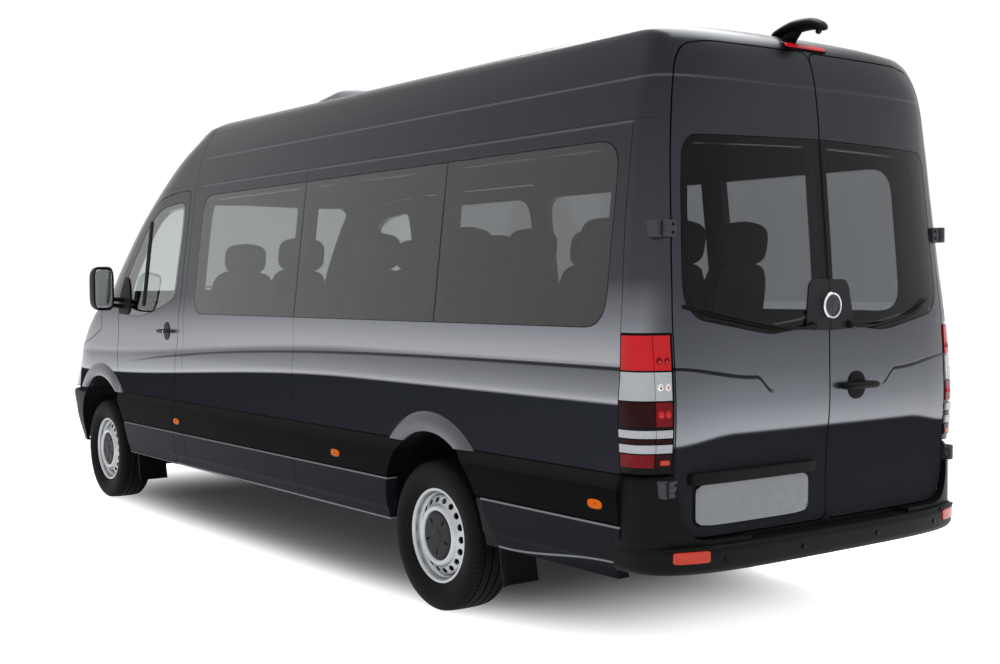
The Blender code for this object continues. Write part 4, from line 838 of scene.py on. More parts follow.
# Satin sprayed silver.
WHEEL_SILVER = Finish("silver_sprayed_steel", "silver_steel", "#a9abae", "#c2c4c6", Pattern.PLAIN, 0.34, 0.8, 0.4,
                      0.002, 0.00002)
# Dull, slightly mottled black.
RUBBER = Finish("vulcanised_tyre_rubber", "tyre_rubber", "#0d0d0d", "#161616", Pattern.RUBBER, 0.7, cell=0.003,
                gloss=0.10)
# Rough, nearly black metal.
IRON = Finish("black_painted_cast_iron", "black_iron", "#0e0e0f", "#19191b", Pattern.CAST, 0.6, 0.3, cell=0.004,
              gloss=0.10)
# Dark cloth without shine, with its weave close up.
CLOTH = Finish("woven_seat_cloth", "seat_fabric", "#1b1b1e", "#35353a", Pattern.WEAVE, 0.9, cell=0.004,
               depth=0.0006)
# Dark grey, soft and without shine.
TRIM = Finish("soft_touch_dark_trim", "dark_trim", "#1d1e20", "#2a2b2e", Pattern.GRAIN, 0.65, cell=0.0015)
# A matt pale grey cover.
PALE = Finish("pale_grey_moulded_cover", "pale_plastic", "#96989c", "#a6a8ac", Pattern.GRAIN, 0.5, cell=0.0015,
              gloss=0.1)
# Brownish grey metal, uneven from heat.
EXHAUST = Finish("plain_exhaust_steel", "exhaust_steel", "#6f6a64", "#8b867f", Pattern.CAST, 0.45, 0.8, cell=0.01)
# Clear bright red with small prisms.
RED_LENS = Finish("red_moulded_acrylic", "red_lens", "#d0101a", "#e21f2a", Pattern.LENS, 0.16, coat=0.04, cell=0.006,
                  depth=0.0003, gloss=0.2)
# A darker red with coarser prisms, as over an unlit bowl.
MID_RED = Finish("shaded_red_moulded_acrylic", "red_lens", "#6c060c", "#960c14", Pattern.LENS, 0.16, cell=0.010,
                 depth=0.0010, gloss=0.12)
# Almost black red with the coarsest prisms.
DEEP_RED = Finish("dark_red_moulded_acrylic", "red_lens", "#240205", "#3c0509", Pattern.LENS, 0.16,
                  cell=0.014, depth=0.0015, gloss=0.08)
# Pale grey lens with small prisms.
WHITE_LENS = Finish("clear_moulded_acrylic", "clear_lens", "#b4b6b9", "#d2d4d7", Pattern.LENS, 0.12, coat=0.2,
                    cell=0.006, depth=0.0003)
# Strong orange with coarse prisms.
AMBER = Finish("amber_moulded_acrylic", "red_lens", "#f26400", "#ff8400", Pattern.LENS, 0.18, cell=0.012,
               depth=0.001, gloss=0.05)
# Orange red, finely broken up.
REFLECTOR = Finish("orange_red_reflector_prisms", "red_lens", "#d4300f", "#ea431c", Pattern.LENS, 0.2, coat=0.12,
                   cell=0.004, depth=0.0004, gloss=0.3)
# Bright, sharp reflections.
CHROME = Finish("polished_bright_metal", "silver_steel", "#c9cbce", "#dddfe2", Pattern.PLAIN, 0.10, 1.0, cell=0.05,
                depth=0.00001)
# A flat, satin grey plate.
BARE_PLATE = Finish("bare_anodised_plate", "pale_plastic", "#6f7173", "#898b8e", Pattern.PLAIN, 0.36, 0.5,
                    cell=0.05, depth=0.00002)
# Dark grey with the roughness of sprayed steel.
HINGE = Finish("sprayed_hinge_steel", "black_iron", "#36373b", "#44464a", Pattern.CAST, 0.42, 0.3, cell=0.006,
               gloss=0.3)
# Flat black rubber.
SEAL = Finish("black_extruded_seal", "black_plastic", "#080808", "#0f0f0f", Pattern.RUBBER, 0.6, cell=0.003,
              gloss=0.08)
# Pale grey with blurred reflections.
FROSTED = Finish("frosted_clear_acrylic", "clear_lens", "#b2b4b8", "#c6c8cc", Pattern.PLAIN, 0.3, coat=0.1, cell=0.02,
                 depth=0.00005)
# Mid grey, as a clear lamp over its housing.
LAMP_BED = Finish("smoked_clear_acrylic", "clear_lens", "#6a6d72", "#7f8287", Pattern.PLAIN, 0.18, cell=0.02,
                  depth=0.00005)
# Grained charcoal grey.
COVER_GREY = Finish("grey_grained_cover", "black_plastic", "#202022", "#28282b", Pattern.GRAIN, 0.5, cell=0.0012,
                    gloss=0.15)
# Grained charcoal against the silver wheel.
CAP_GREY = Finish("dark_grey_moulded_cap", "black_plastic", "#242527", "#2e2f32", Pattern.GRAIN, 0.55, cell=0.0015,
                  gloss=0.2)
# The lacquer painted lighter, a painted highlight where the arch turns up to the light.
FLARE_PAINT = Finish("grey_metallic_lacquer_on_flare", "paint", "#4a4b50", "#58595e", Pattern.PLAIN, 0.32, 0.85,
                     coat=0.3, cell=0.3, depth=0.00001)


def piece(thing: bpy.types.Object, name: str, finish: Finish, body: str = "body", *replaced: str,
          fill: float | None = None) -> bpy.types.Object:
    """Names and dresses a finished mesh, and says which body it rides and the nodes it stands for."""
    thing.name = name
    thing.data.name = name
    thing.data.materials.clear()
    thing.data.materials.append(finish.make())
    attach(thing, body)
    if replaced:
        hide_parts(*replaced)
    LOG.info("%s: %d faces on %s", name, len(thing.data.polygons), body)
    return thing


def skinned(thing: bpy.types.Object, name: str, finish: Finish, body: str = "body", *replaced: str,
            skin: Skin = SKIN) -> bpy.types.Object:
    """A piece cut from a skin, shaded along it."""
    skin_shade(thing, skin)
    return piece(thing, name, finish, body, *replaced)


# ------------------------------------------------------------------ the body's panels, doors and panes
@dataclass
class Glazing:
    """Bonded panes: each lies in a recess, over a black fired border that hides the posts."""

    glass: float = 0.006
    lap: float = 0.030
    gap: float = 0.0035
    joint: float = 0.006
    post: float = 0.150

    def __post_init__(self) -> None:
        """Makes the three layers under the skin that panes, recesses and borders are cut from."""
        self.pane = cut(loft(0.0), loft(self.glass, low=0.25))
        self.recess = cut(loft(-0.05, low=0.30), loft(self.glass + 0.0032, low=0.25))
        self.border = cut(loft(self.glass + 0.0004), loft(self.glass + 0.0028, low=0.25))

    def fit(self, panel: bpy.types.Object, corners: np.ndarray | list, radius: float | np.ndarray, axis: str, lo: float,
            hi: float, posts: tuple = ()) -> tuple[list[bpy.types.Object], bpy.types.Object]:
        """Opens a window in a panel.

        Args:
            panel: the panel to open.
            corners, radius: edge of the glass before its corners are rounded, and how far they are.
            axis, lo, hi: direction and reach of the opening.
            posts: places along the van where a post stands behind the glass and the panes meet.
        Returns:
            The panes and the fired border.
        """
        outline, edge = fillet(corners, radius), fillet(grown(corners, self.gap), radius)
        cut(panel, common(twin(self.recess), prism(edge, axis, lo, hi)))
        hole = prism(fillet(grown(corners, -self.lap), np.maximum(radius, 0.03)), axis, lo, hi)
        for x in posts:
            cut(hole, box((x - self.post / 2, -OUT, 0.0), (x + self.post / 2, OUT, 3.0)))
        rim = fillet(grown(corners, self.gap - 0.0005), radius)
        border = cut(common(twin(self.border), prism(rim, axis, lo, hi)), twin(hole))
        cut(panel, hole)
        glass = common(twin(self.pane), prism(outline, axis, lo, hi))
        panes, edges = [], [-9.0, *sorted(posts), 9.0]
        for back, front in zip(edges, edges[1:]):
            cell = box((back + self.joint / 2, -OUT, 0.0), (front - self.joint / 2, OUT, 3.0))
            panes.append(common(twin(glass), cell))
        bpy.data.objects.remove(glass, do_unlink=True)
        return panes, border

    def drop(self) -> None:
        """Removes the layers."""
        for layer in (self.pane, self.recess, self.border):
            bpy.data.objects.remove(layer, do_unlink=True)


def take(shell: bpy.types.Object, outline: np.ndarray, axis: str, lo: float, hi: float, gap: float,
         shut: float = 0.0) -> bpy.types.Object:
    """Cuts a piece out of a shell and keeps a gap all round it; shut widens the gap at the low end."""
    part = common(twin(shell), prism(outline, axis, lo, hi - shut))
    cut(shell, prism(grown(outline, gap), axis, lo, hi))
    return part


def pressed(thing: bpy.types.Object) -> bpy.types.Object:
    """Pushes the skin of a lower side piece outwards into a bevelled moulding and a lipped sill.

    Each point on the skin moves along its normal by a height that runs straight between the pressed edges.
    """
    mesh = thing.data
    points = np.empty(len(mesh.vertices) * 3)
    mesh.vertices.foreach_get("co", points)
    points = points.reshape(-1, 3)
    rise = np.interp(points[:, 2], (0.376, 0.430, 0.446, 0.582, 0.5905, 0.592, 0.606, 0.742, 0.793, 0.7985),
                     (0.000, 0.002, 0.008, 0.008, 0.000, -0.002, 0.008, 0.013, 0.002, 0.000))
    on_skin = np.abs(SKIN.level(points) - 1.0) < 0.0012
    points += SKIN.normals(points) * (rise * on_skin)[:, None]
    mesh.vertices.foreach_set("co", points.ravel())
    mesh.update()
    smooth(thing, 20)
    return thing


@dataclass
class Body:
    """Every panel that follows the skin, with its glass."""

    pane_top: float = 2.110
    pane_bottom: float = 1.368
    pane_corner: float = 0.125
    pane_front: float = 0.845
    pane_rear: float = -3.095
    bonnet_wall: float = 0.040
    wing_wall: float = 0.020
    shell: bpy.types.Object = field(init=False)
    glazing: Glazing = field(init=False)

    def build(self) -> None:
        """Cuts the whole body up, from the tail to the nose."""
        self.shell = cut(loft(0.0), loft(WALL, low=0.25))
        self.glazing = Glazing()
        cut(self.shell, prism(arch(REAR_AXLE_X, REAR_ARCH), "y", -OUT, OUT),
            prism(arch(FRONT_AXLE_X, FRONT_ARCH), "y", -OUT, OUT))
        self.tail()
        self.nose()
        for side in Side:
            self.cab_door(side)
        self.sliding_door()
        self.roof()
        for side in Side:
            self.side_panel(side)
        self.cab_frame()
        self.glazing.drop()

    def glass(self, made: tuple, name: str, finish: Finish, body: str, *replaced: str) -> None:
        """Dresses the panes and border of one window."""
        panes, border = made
        for k, pane in enumerate(panes):
            tail = f"_{k + 1}" if len(panes) > 1 else ""
            skinned(pane, f"{name}{tail}", finish, body, *(replaced if k == 0 else ()))
        skinned(border, f"{name}_border", FRIT, body)

    def banded(self, panel: bpy.types.Object, name: str, body: str, node_name: str) -> None:
        """Splits a side into lacquered panel, black moulding and lacquered sill."""
        low, high = MOULDING_Z
        upper = common(twin(panel), box((BEHIND, -OUT, high), (AHEAD, OUT, ABOVE)))
        band = common(twin(panel), box((BEHIND, -OUT, low), (AHEAD, OUT, high - 0.0015)))
        sill = common(panel, box((BEHIND, -OUT, 0), (AHEAD, OUT, low - 0.0015)))
        skinned(upper, name, PAINT, body, node_name)
        piece(pressed(band), f"{name}_moulding", MOULDING, body)
        if name.startswith("side_panel"):
            edge = REAR_AXLE_X - REAR_ARCH[0]
            corner = prism([(edge + 0.1, 0.3), (edge + 0.1, 0.5915), (edge, 0.5915), (edge - 0.1, 0.370),
                            (edge - 0.1, 0.3)], "y", -OUT, OUT)
            piece(pressed(common(twin(sill), twin(corner))), f"{name}_skirt", BLACK, body)
            cut(sill, corner)
        piece(pressed(sill), f"{name}_sill", SILL_PAINT, body)

    def tail(self) -> None:
        """Rear doors; the tail lamps and the bumper have classes of their own."""
        cut(self.shell, box((BEHIND, -OUT, 0.0), (-3.150, OUT, REAR_DOOR_Z[0] - DOOR_GAP / 2)))
        for side in Side:
            low, high = span(side, 0.853)
            cut(self.shell, box((BEHIND, low, 0.0), (-3.194, high, 1.350)))
        for side in Side:
            outline = fillet(REAR_DOOR if side is Side.LEFT else mirrored(REAR_DOOR), 0.045)
            door = take(self.shell, outline, "x", BEHIND, REAR_JAMB_X, DOOR_GAP, 0.007)
            corners = np.where(np.array(REAR_PANE)[:, 0] < 0.05, 0.004, 0.060)
            line = REAR_PANE if side is Side.LEFT else mirrored(REAR_PANE)
            made = self.glazing.fit(door, line, corners, "x", BEHIND, -3.1)
            body = f"rear_door_{side.label}"
            self.glass(made, f"rear_door_glass_{side.label}", REAR_GLASS, body, f"rear_door_glass_{side.label}")
            skinned(door, body, PAINT, body, body)

    def nose(self) -> None:
        """Bonnet, wings, grille, head lamps and front bumper."""
        cut(self.shell, box((DOOR_FRONT_X + DOOR_GAP, -OUT, 0.0), (AHEAD, OUT, COWL_Z)))
        skin = cut(loft(0.0), loft(self.bonnet_wall, low=0.25))
        top = list(BONNET_LINE) + [(3.6, COWL_Z - DOOR_GAP), (BONNET_REAR_X, COWL_Z - DOOR_GAP)]
        bonnet = common(skin, prism(top, "y", -OUT, OUT))
        ring = SKIN.rings(np.array([COWL_Z]), -DOOR_GAP)[0][:, :2]
        cut(bonnet, prism(ring, "z", 1.0, 1.6))
        skinned(bonnet, "bonnet", PAINT, "bonnet", "bonnet")
        nose = cut(loft(0.0), loft(self.wing_wall, low=0.25))
        common(nose, box((DOOR_FRONT_X + DOOR_GAP, -OUT, 0.0), (AHEAD, OUT, COWL_Z - SEAM)))
        cut(nose, prism(arch(FRONT_AXLE_X, FRONT_ARCH), "y", -OUT, OUT), prism(grown(top, DOOR_GAP), "y", -OUT, OUT))
        line = [(BUMPER_REAR_X, 0.0), (4.0, 0.0), (4.0, BUMPER_TOP_Z), (BUMPER_REAR_X, BUMPER_TOP_Z)]
        bumper = take(nose, line, "y", -OUT, OUT, 0.002)
        self.front_bumper(bumper)
        for side in Side:
            low, high = span(side, LAMP_INNER_Y)
            line = fillet([(LAMP_REAR_X, 0.790), (4.0, 0.740), (4.0, 1.2), (LAMP_REAR_X, 1.2)], 0.03)
            lamp = take(nose, line, "y", low, high, 0.002)
            skinned(lamp, f"head_lamp_{side.label}", LAMP_BED, "body", f"head_lamp_{side.label}")
        middle = common(twin(nose), box((LAMP_REAR_X, -LAMP_INNER_Y + 0.002, 0.6), (AHEAD, LAMP_INNER_Y - 0.002, 1.2)))
        skinned(middle, "grille", BLACK, "body", "grille")
        for side in Side:
            low, high = span(side, LAMP_INNER_Y + 0.05)
            wing = common(twin(nose), box((2.0, low, 0.0), (LAMP_REAR_X, high, 2.0)))
            skinned(wing, f"wing_{side.label}", PAINT, "body", f"wing_{side.label}")
        bpy.data.objects.remove(nose, do_unlink=True)

    def front_bumper(self, bumper: bpy.types.Object) -> None:
        """Grained bumper in two halves, with an intake."""
        intake = fillet([(-0.62, 0.470), (0.62, 0.470), (0.58, 0.600), (-0.58, 0.600)], 0.03)
        cut(bumper, prism(intake, "x", 3.0, 4.0))
        lower = common(twin(bumper), box((2, -OUT, 0), (AHEAD, OUT, 0.598)))
        upper = common(bumper, box((2, -OUT, 0.600), (AHEAD, OUT, 1)))
        screen = common(cut(loft(0.018), loft(0.028, low=0.25)), prism(grown(intake, 0.02), "x", 3.0, 4.0))
        skinned(screen, "front_intake_screen", SEAL)
        skinned(upper, "front_bumper", BLACK, "body", "front_bumper")
        skinned(lower, "front_bumper_lower", BLACK, "body")

    def cab_door(self, side: Side) -> None:
        """One front door with its window."""
        low, high = span(side)
        name = f"front_door_{side.label}"
        door = take(self.shell, fillet(CAB_DOOR, 0.05), "y", low, high, DOOR_GAP)
        cut(door, self.hinge_scoop(side))
        made = self.glazing.fit(door, CAB_DOOR_PANE, 0.07, "y", low, high)
        glass = f"front_door_glass_{side.label}"
        self.glass(made, glass, CLEAR_GLASS, name, glass)
        self.banded(door, name, name, name)

    def hinge_scoop(self, side: Side) -> bpy.types.Object:
        """What a cab door's front edge leaves free round its hinge line."""
        edge = CAB_HINGE_X - (DOOR_FRONT_X + DOOR_GAP)
        z = np.array([0.30, 0.74, 0.80, 1.065, 1.185, 1.37, 1.415, 1.56])
        low, high = 0.85, 1.42
        y0, y1 = SKIN.side_y(2.0, low) - CAB_HINGE_DEPTH, SKIN.side_y(2.0, high) - CAB_HINGE_DEPTH
        centre = y0 + (y1 - y0) * (z - low) / (high - low)
        radius = np.hypot(edge, SKIN.side_y(2.0, np.maximum(z, low)) - centre) + 0.005
        t = np.linspace(0, math.tau, 32, endpoint=False)
        x = CAB_HINGE_X + radius[:, None] * np.cos(t)
        y = side.value * (centre[:, None] + radius[:, None] * np.sin(t))
        verts = np.stack(np.broadcast_arrays(x, y, z[:, None]), axis=-1)
        faces = grid_faces(len(z), 32, wrap_cols=True)
        tri = triangles(faces).tolist()
        return outward(to_object("scoop", verts, tri + end_faces(len(z), 32)))

    def sliding_door(self) -> None:
        """The sliding door on the right, with its window."""
        line = fillet([(SLIDE_FRONT_X, DOOR_SILL_Z), (SLIDE_FRONT_X, SLIDE_TOP_Z), (SLIDE_REAR_X, SLIDE_TOP_Z),
                       (SLIDE_REAR_X, DOOR_SILL_Z)], 0.05)
        low, high = span(Side.RIGHT)
        door = take(self.shell, line, "y", low, high, DOOR_GAP)
        pane = self.window(SLIDE_REAR_X + 0.045, self.pane_front)
        self.glass(self.glazing.fit(door, pane, self.pane_corner, "y", low, high), "sliding_door_glass", PRIVACY,
                   "body", "sliding_door_glass")
        self.banded(door, "sliding_door", "body", "sliding_door")

    def window(self, rear: float, front: float) -> list[tuple[float, float]]:
        """The four corners of a window in the band."""
        low, high = self.pane_bottom, self.pane_top
        return [(rear, low), (front, low), (front, high), (rear, high)]

    def roof(self) -> None:
        """The roof, in a rear and a front moulding that meet in a fine joint."""
        roof = common(twin(self.shell), box((BEHIND, -OUT, ROOF_SPLIT_Z + 0.001), (AHEAD, OUT, ABOVE)))
        cut(self.shell, box((BEHIND, -OUT, ROOF_SPLIT_Z), (AHEAD, OUT, ABOVE)))
        seam = [(0.985, 2.10), (0.990, 2.37), (0.925, 2.54), (0.905, 2.75)]
        ahead = prism(seam + [(4.0, 2.75), (4.0, 2.10)], "y", -OUT, OUT)
        front = common(twin(roof), ahead)
        behind = prism([(a - 0.004, b) for a, b in seam] + [(-4.0, 2.75), (-4.0, 2.10)], "y", -OUT, OUT)
        skinned(common(roof, behind), "roof_panel", PAINT, "body", "roof_panel")
        skinned(front, "roof_panel_front", PAINT, "body")

    def side_panel(self, side: Side) -> None:
        """One side behind the cab, with its band of panes."""
        low, high = span(side, 0.0001)
        panel = common(twin(self.shell), box((BEHIND, low, 0.0), (B_SEAM_X - 0.0035, high, 3.0)))
        front = self.pane_front if side is Side.LEFT else SLIDE_REAR_X - 0.055
        line = self.window(self.pane_rear, front)
        posts = (SIDE_SPLIT_X, SIDE_PANE_SPLIT_X) if side is Side.LEFT else (SIDE_PANE_SPLIT_X,)
        low, high = span(side)
        name = f"side_glass_{side.label}"
        for path in ([(SIDE_SPLIT_X, 0.30), (SIDE_SPLIT_X, 2.30)], [(-3.198, 0.78), (-3.196, 1.377), (-3.167, 1.786),
                     (-3.164, 2.033), (-3.163, 2.166), (-3.150, 2.30)]):
            seam = [(a - 0.0016, b) for a, b in path] + [(a + 0.0016, b) for a, b in path[::-1]]
            cut(panel, common(cut(loft(-0.02), loft(0.005)), prism(seam, "y", low, high)))
        self.glass(self.glazing.fit(panel, line, self.pane_corner, "y", low, high, posts), name, PRIVACY, "body", name)
        self.banded(panel, f"side_panel_{side.label}", "body", f"side_panel_{side.label}")

    def cab_frame(self) -> None:
        """The frame round the windscreen and the cab doors, with its screen."""
        cab = common(self.shell, box((B_SEAM_X, -OUT, 0.0), (AHEAD, OUT, ABOVE)))
        self.glass(self.glazing.fit(cab, SCREEN, 0.06, "x", 1.35, 3.4), "windscreen", CLEAR_GLASS, "body",
                   "windscreen")
        tray = common(loft(WALL / 2, low=COWL_Z, high=COWL_Z + 0.022), box((2.16, -OUT, 0.0), (AHEAD, OUT, ABOVE)))
        join(cab, tray, Join.FUSE)
        self.banded(cab, "cab_frame", "body", "cab_frame")


# ------------------------------------------------------------------ lamps, bumper and trim
def laid(name: str, finish: Finish, place: Place, centre: tuple, half: tuple, body: str = "body", **shape) -> None:
    """A pillow laid on a surface and dressed as a piece; shape is what pillow takes from proud on."""
    piece(pillow(name, place, centre, half, **shape), name, finish, body)


def wiper(named: tuple, place: Place, flat: np.ndarray, taper: tuple, blade: tuple, bar: tuple,
          body: str = "body") -> None:
    """A wiper arm and its blade.

    Args:
        named: what the names start and end with.
        place, flat: the surface, and the arm's path as places on it.
        taper: shares of the path, and the arm's radius at each.
        blade: the arm's point where the blade starts, and how far it is shifted along and off the surface.
        bar: radius and flatness of the blade.
    """
    width = np.interp(np.linspace(0, 1, len(flat)), *taper)
    piece(tube("arm", place(*flat.T), width, 12, 0.7), f"{named[0]}_arm_{named[1]}", BLACK, body)
    path = flat[blade[0]:] + (0.0, blade[1], blade[2])
    piece(tube("blade", place(*path.T), bar[0], 8, bar[1]), f"{named[0]}_blade_{named[1]}", SEAL, body)


@dataclass
class TailLamp:
    """An upright lamp at a rear corner: a dark housing with lenses in rows, parted where the corner turns."""

    side: Side
    front_x: float = -3.196
    inner_y: float = 0.857
    low_z: float = 0.8065
    high_z: float = 1.347
    corner_y: float = 0.930
    edge: float = 0.0085

    def build(self) -> None:
        """Cuts the housing and its lenses from layers of the skin."""
        low, high = span(self.side, self.inner_y)
        region = box((BEHIND, low, self.low_z), (self.front_x, high, self.high_z))
        housing = common(cut(loft(0.002, 0.7, 1.5), loft(0.060, 0.6, 1.6)), region)
        skinned(housing, f"tail_lamp_{self.side.label}", GLOSS_BLACK, "body", f"tail_lamp_{self.side.label}")
        rows = ((1.206, 1.340, 0.005, RED_LENS, RED_LENS), (1.090, 1.199, 0.005, FROSTED, WHITE_LENS),
                (0.990, 1.083, 0.004, DEEP_RED, MID_RED), (0.946, 0.976, 0.008, WHITE_LENS, WHITE_LENS),
                (0.925, 0.941, 0.003, DEEP_RED, DEEP_RED), (0.888, 0.920, 0.008, WHITE_LENS, WHITE_LENS),
                (0.832, 0.882, 0.004, MID_RED, DEEP_RED))
        inner = self.inner_y + self.edge
        spans = ((self.corner_y + 0.0015, OUT), (inner, self.corner_y - 0.0015))
        for k, (z0, z1, proud, outer_finish, rear_finish) in enumerate(rows):
            layer = cut(loft(-proud, 0.7, 1.5), loft(0.0015, 0.6, 1.6))
            for j, ((a, b), finish) in enumerate(zip(spans, (outer_finish, rear_finish))):
                y0, y1 = sorted((self.side.value * a, self.side.value * b))
                lens = common(twin(layer), box((BEHIND, y0, z0), (self.front_x - self.edge, y1, z1)))
                skinned(lens, f"tail_lamp_lens_{self.side.label}_{k + 1}{'ab'[j]}", finish)
            bpy.data.objects.remove(layer, do_unlink=True)
        for k, z in enumerate((1.243, 1.142, 1.036)):
            for j, y in enumerate((0.882, 0.910)):
                name = f"{self.side.label}_{k + 1}{'ab'[j]}"
                laid(f"tail_lamp_dish_{name}", (MID_RED, CHROME, RED_LENS)[k], on_tail, (self.side.value * y, z),
                     (0.0125, 0.0165), proud=0.0068, square=2.0, crown=2.5, steps=24)
                laid(f"tail_lamp_bowl_{name}", REFLECTOR, on_tail, (self.side.value * y, z - 0.004), (0.0055, 0.0075),
                     proud=0.0092, square=2.0, crown=2.5, steps=24)
        laid(f"tail_lamp_patch_{self.side.label}", REFLECTOR, on_tail, (self.side.value * 0.892, 0.850),
             (0.019, 0.010), proud=0.0060, square=8.0, crown=6.0, steps=32)


def swept_bumper(name: str, back: float, width: float, profile: np.ndarray | list) -> bpy.types.Object:
    """A closed (inset, z) profile carried round the rear in plan.

    The path is x = -3.10 + (back + 3.10) |cos a|^(1/2), y = width |sin a|^(1/2), from side to side.
    """
    a = np.linspace(-math.pi / 2, math.pi / 2, 121)
    c, s = np.abs(np.cos(a)) ** 0.5, np.sign(np.sin(a)) * np.abs(np.sin(a)) ** 0.5
    c[[0, -1]] = 0.0
    x, y = -3.10 + (back + 3.10) * c, width * s
    far = np.concatenate(([0], np.cumsum(np.hypot(np.diff(x), np.diff(y)))))
    want = np.linspace(0, far[-1], 161)
    path = np.column_stack((np.interp(want, far, x), np.interp(want, far, y)))
    run = np.gradient(path, axis=0)
    run /= np.linalg.norm(run, axis=1)[:, None]
    out = np.column_stack((-run[:, 1], run[:, 0]))
    line = np.asarray(profile, float)
    xy = path[:, None] - line[None, :, :1] * out[:, None]
    rings = np.concatenate((xy, np.broadcast_to(line[None, :, 1:], (len(path), len(line), 1))), axis=2)
    faces = grid_faces(*rings.shape[:2], wrap_cols=True)
    tri = triangles(faces).tolist()
    n = len(line)
    return outward(to_object(name, rings, tri + end_faces(len(path), n)))


@dataclass
class RearBumper:
    """The black rear bumper: a step beam with raised corners, reflectors, joints and parking sensors."""

    back_x: float = -3.4725
    width: float = 0.988
    low_z: float = 0.412
    high_z: float = 0.521
    corner_z: float = 0.798
    joint_y: float = 0.720

    def build(self) -> None:
        """Builds the beam, the corners and what is let into them."""
        beam_line = fillet([(0.000, 0.500), (0.012, self.high_z), (0.100, self.high_z), (0.100, self.low_z),
                            (0.022, self.low_z), (0.006, 0.432)], 0.012, 4)
        beam = swept_bumper("beam", self.back_x, self.width, beam_line[::-1])
        cut(beam, box((-3.15, -OUT, 0.0), (0.0, OUT, 1.0)))
        line = fillet([(0.000, 0.500), (0.000, 0.720), (0.004, 0.770), (0.020, self.corner_z), (0.060, self.corner_z),
                       (0.060, 0.500)], 0.010, 3)
        corner = swept_bumper("corner", self.back_x + 0.035, self.width, line)
        cut(corner, box((-3.15, -OUT, 0.0), (0.0, OUT, 1.0)))
        for side in Side:
            outline = REAR_DOOR if side is Side.LEFT else mirrored(REAR_DOOR)
            cut(corner, prism(grown(fillet(outline, 0.045), 0.007), "x", BEHIND, -3.0),
                prism([(side.value * -0.02, 0.40), (side.value * 0.2, 0.40), (side.value * 0.2, 0.95),
                       (side.value * -0.02, 0.95)], "x", BEHIND, -3.0))
        for side in Side:
            y0, y1 = sorted((side.value * self.joint_y, side.value * (self.joint_y - 0.003)))
            cut(beam, box((-3.60, y0, 0.3), (self.back_x + 0.014, y1, 0.6)))
        smooth(beam, 28)
        piece(beam, "rear_bumper", BLACK, "body", "rear_bumper")
        tread = common(loft(0.030, 0.505, 0.5375), box((BEHIND, -OUT, 0.0), (-3.170, OUT, 1.0)))
        smooth(tread, 28)
        piece(tread, "rear_threshold", BLACK)
        lip = common(cut(loft(0.007, 0.505, 0.5375), loft(0.031, 0.500, 0.545)),
                     box((BEHIND, -0.70, 0.0), (-3.30, 0.70, 1.0)))
        smooth(lip, 28)
        piece(lip, "rear_threshold_lip", BLACK)
        for side in Side:
            low, high = span(side, 0.5)
            half = common(twin(corner), box((BEHIND, low, 0), (0, high, 1)))
            smooth(half, 28)
            piece(half, f"rear_bumper_corner_{side.label}", BLACK)
            place = self.on_beam()
            laid(f"bumper_reflector_{side.label}", REFLECTOR, place, (side.value * 0.812, 0.484), (0.074, 0.0235),
                 proud=0.0035, square=9.0, crown=9.0, sink=0.012)
            laid(f"bumper_lip_{side.label}", BLACK, place, (side.value * 0.812, 0.5145), (0.096, 0.005), proud=0.004,
                 square=5.0, crown=3.0, sink=0.010)
            for k, y in enumerate((0.660, 0.235)):
                laid(f"parking_sensor_{side.label}_{k + 1}", GLOSS_BLACK, place, (side.value * y, 0.466),
                     (0.011, 0.011), proud=0.0018, square=2.0, crown=6.0, sink=0.012, steps=24)
        bpy.data.objects.remove(corner, do_unlink=True)

    def on_beam(self) -> Place:
        """Places (y, z, height) on the back of the beam."""
        def place(a: np.ndarray, b: np.ndarray, h: np.ndarray) -> np.ndarray:
            """The point at y, z and a height behind the bowed beam."""
            share = np.clip(np.abs(a) / self.width, 0, 0.999)
            x = -3.10 + (self.back_x + 3.10) * (1 - share ** 4) ** 0.25
            return np.stack(np.broadcast_arrays(x - h + 0.001, a, b), axis=-1)
        return place


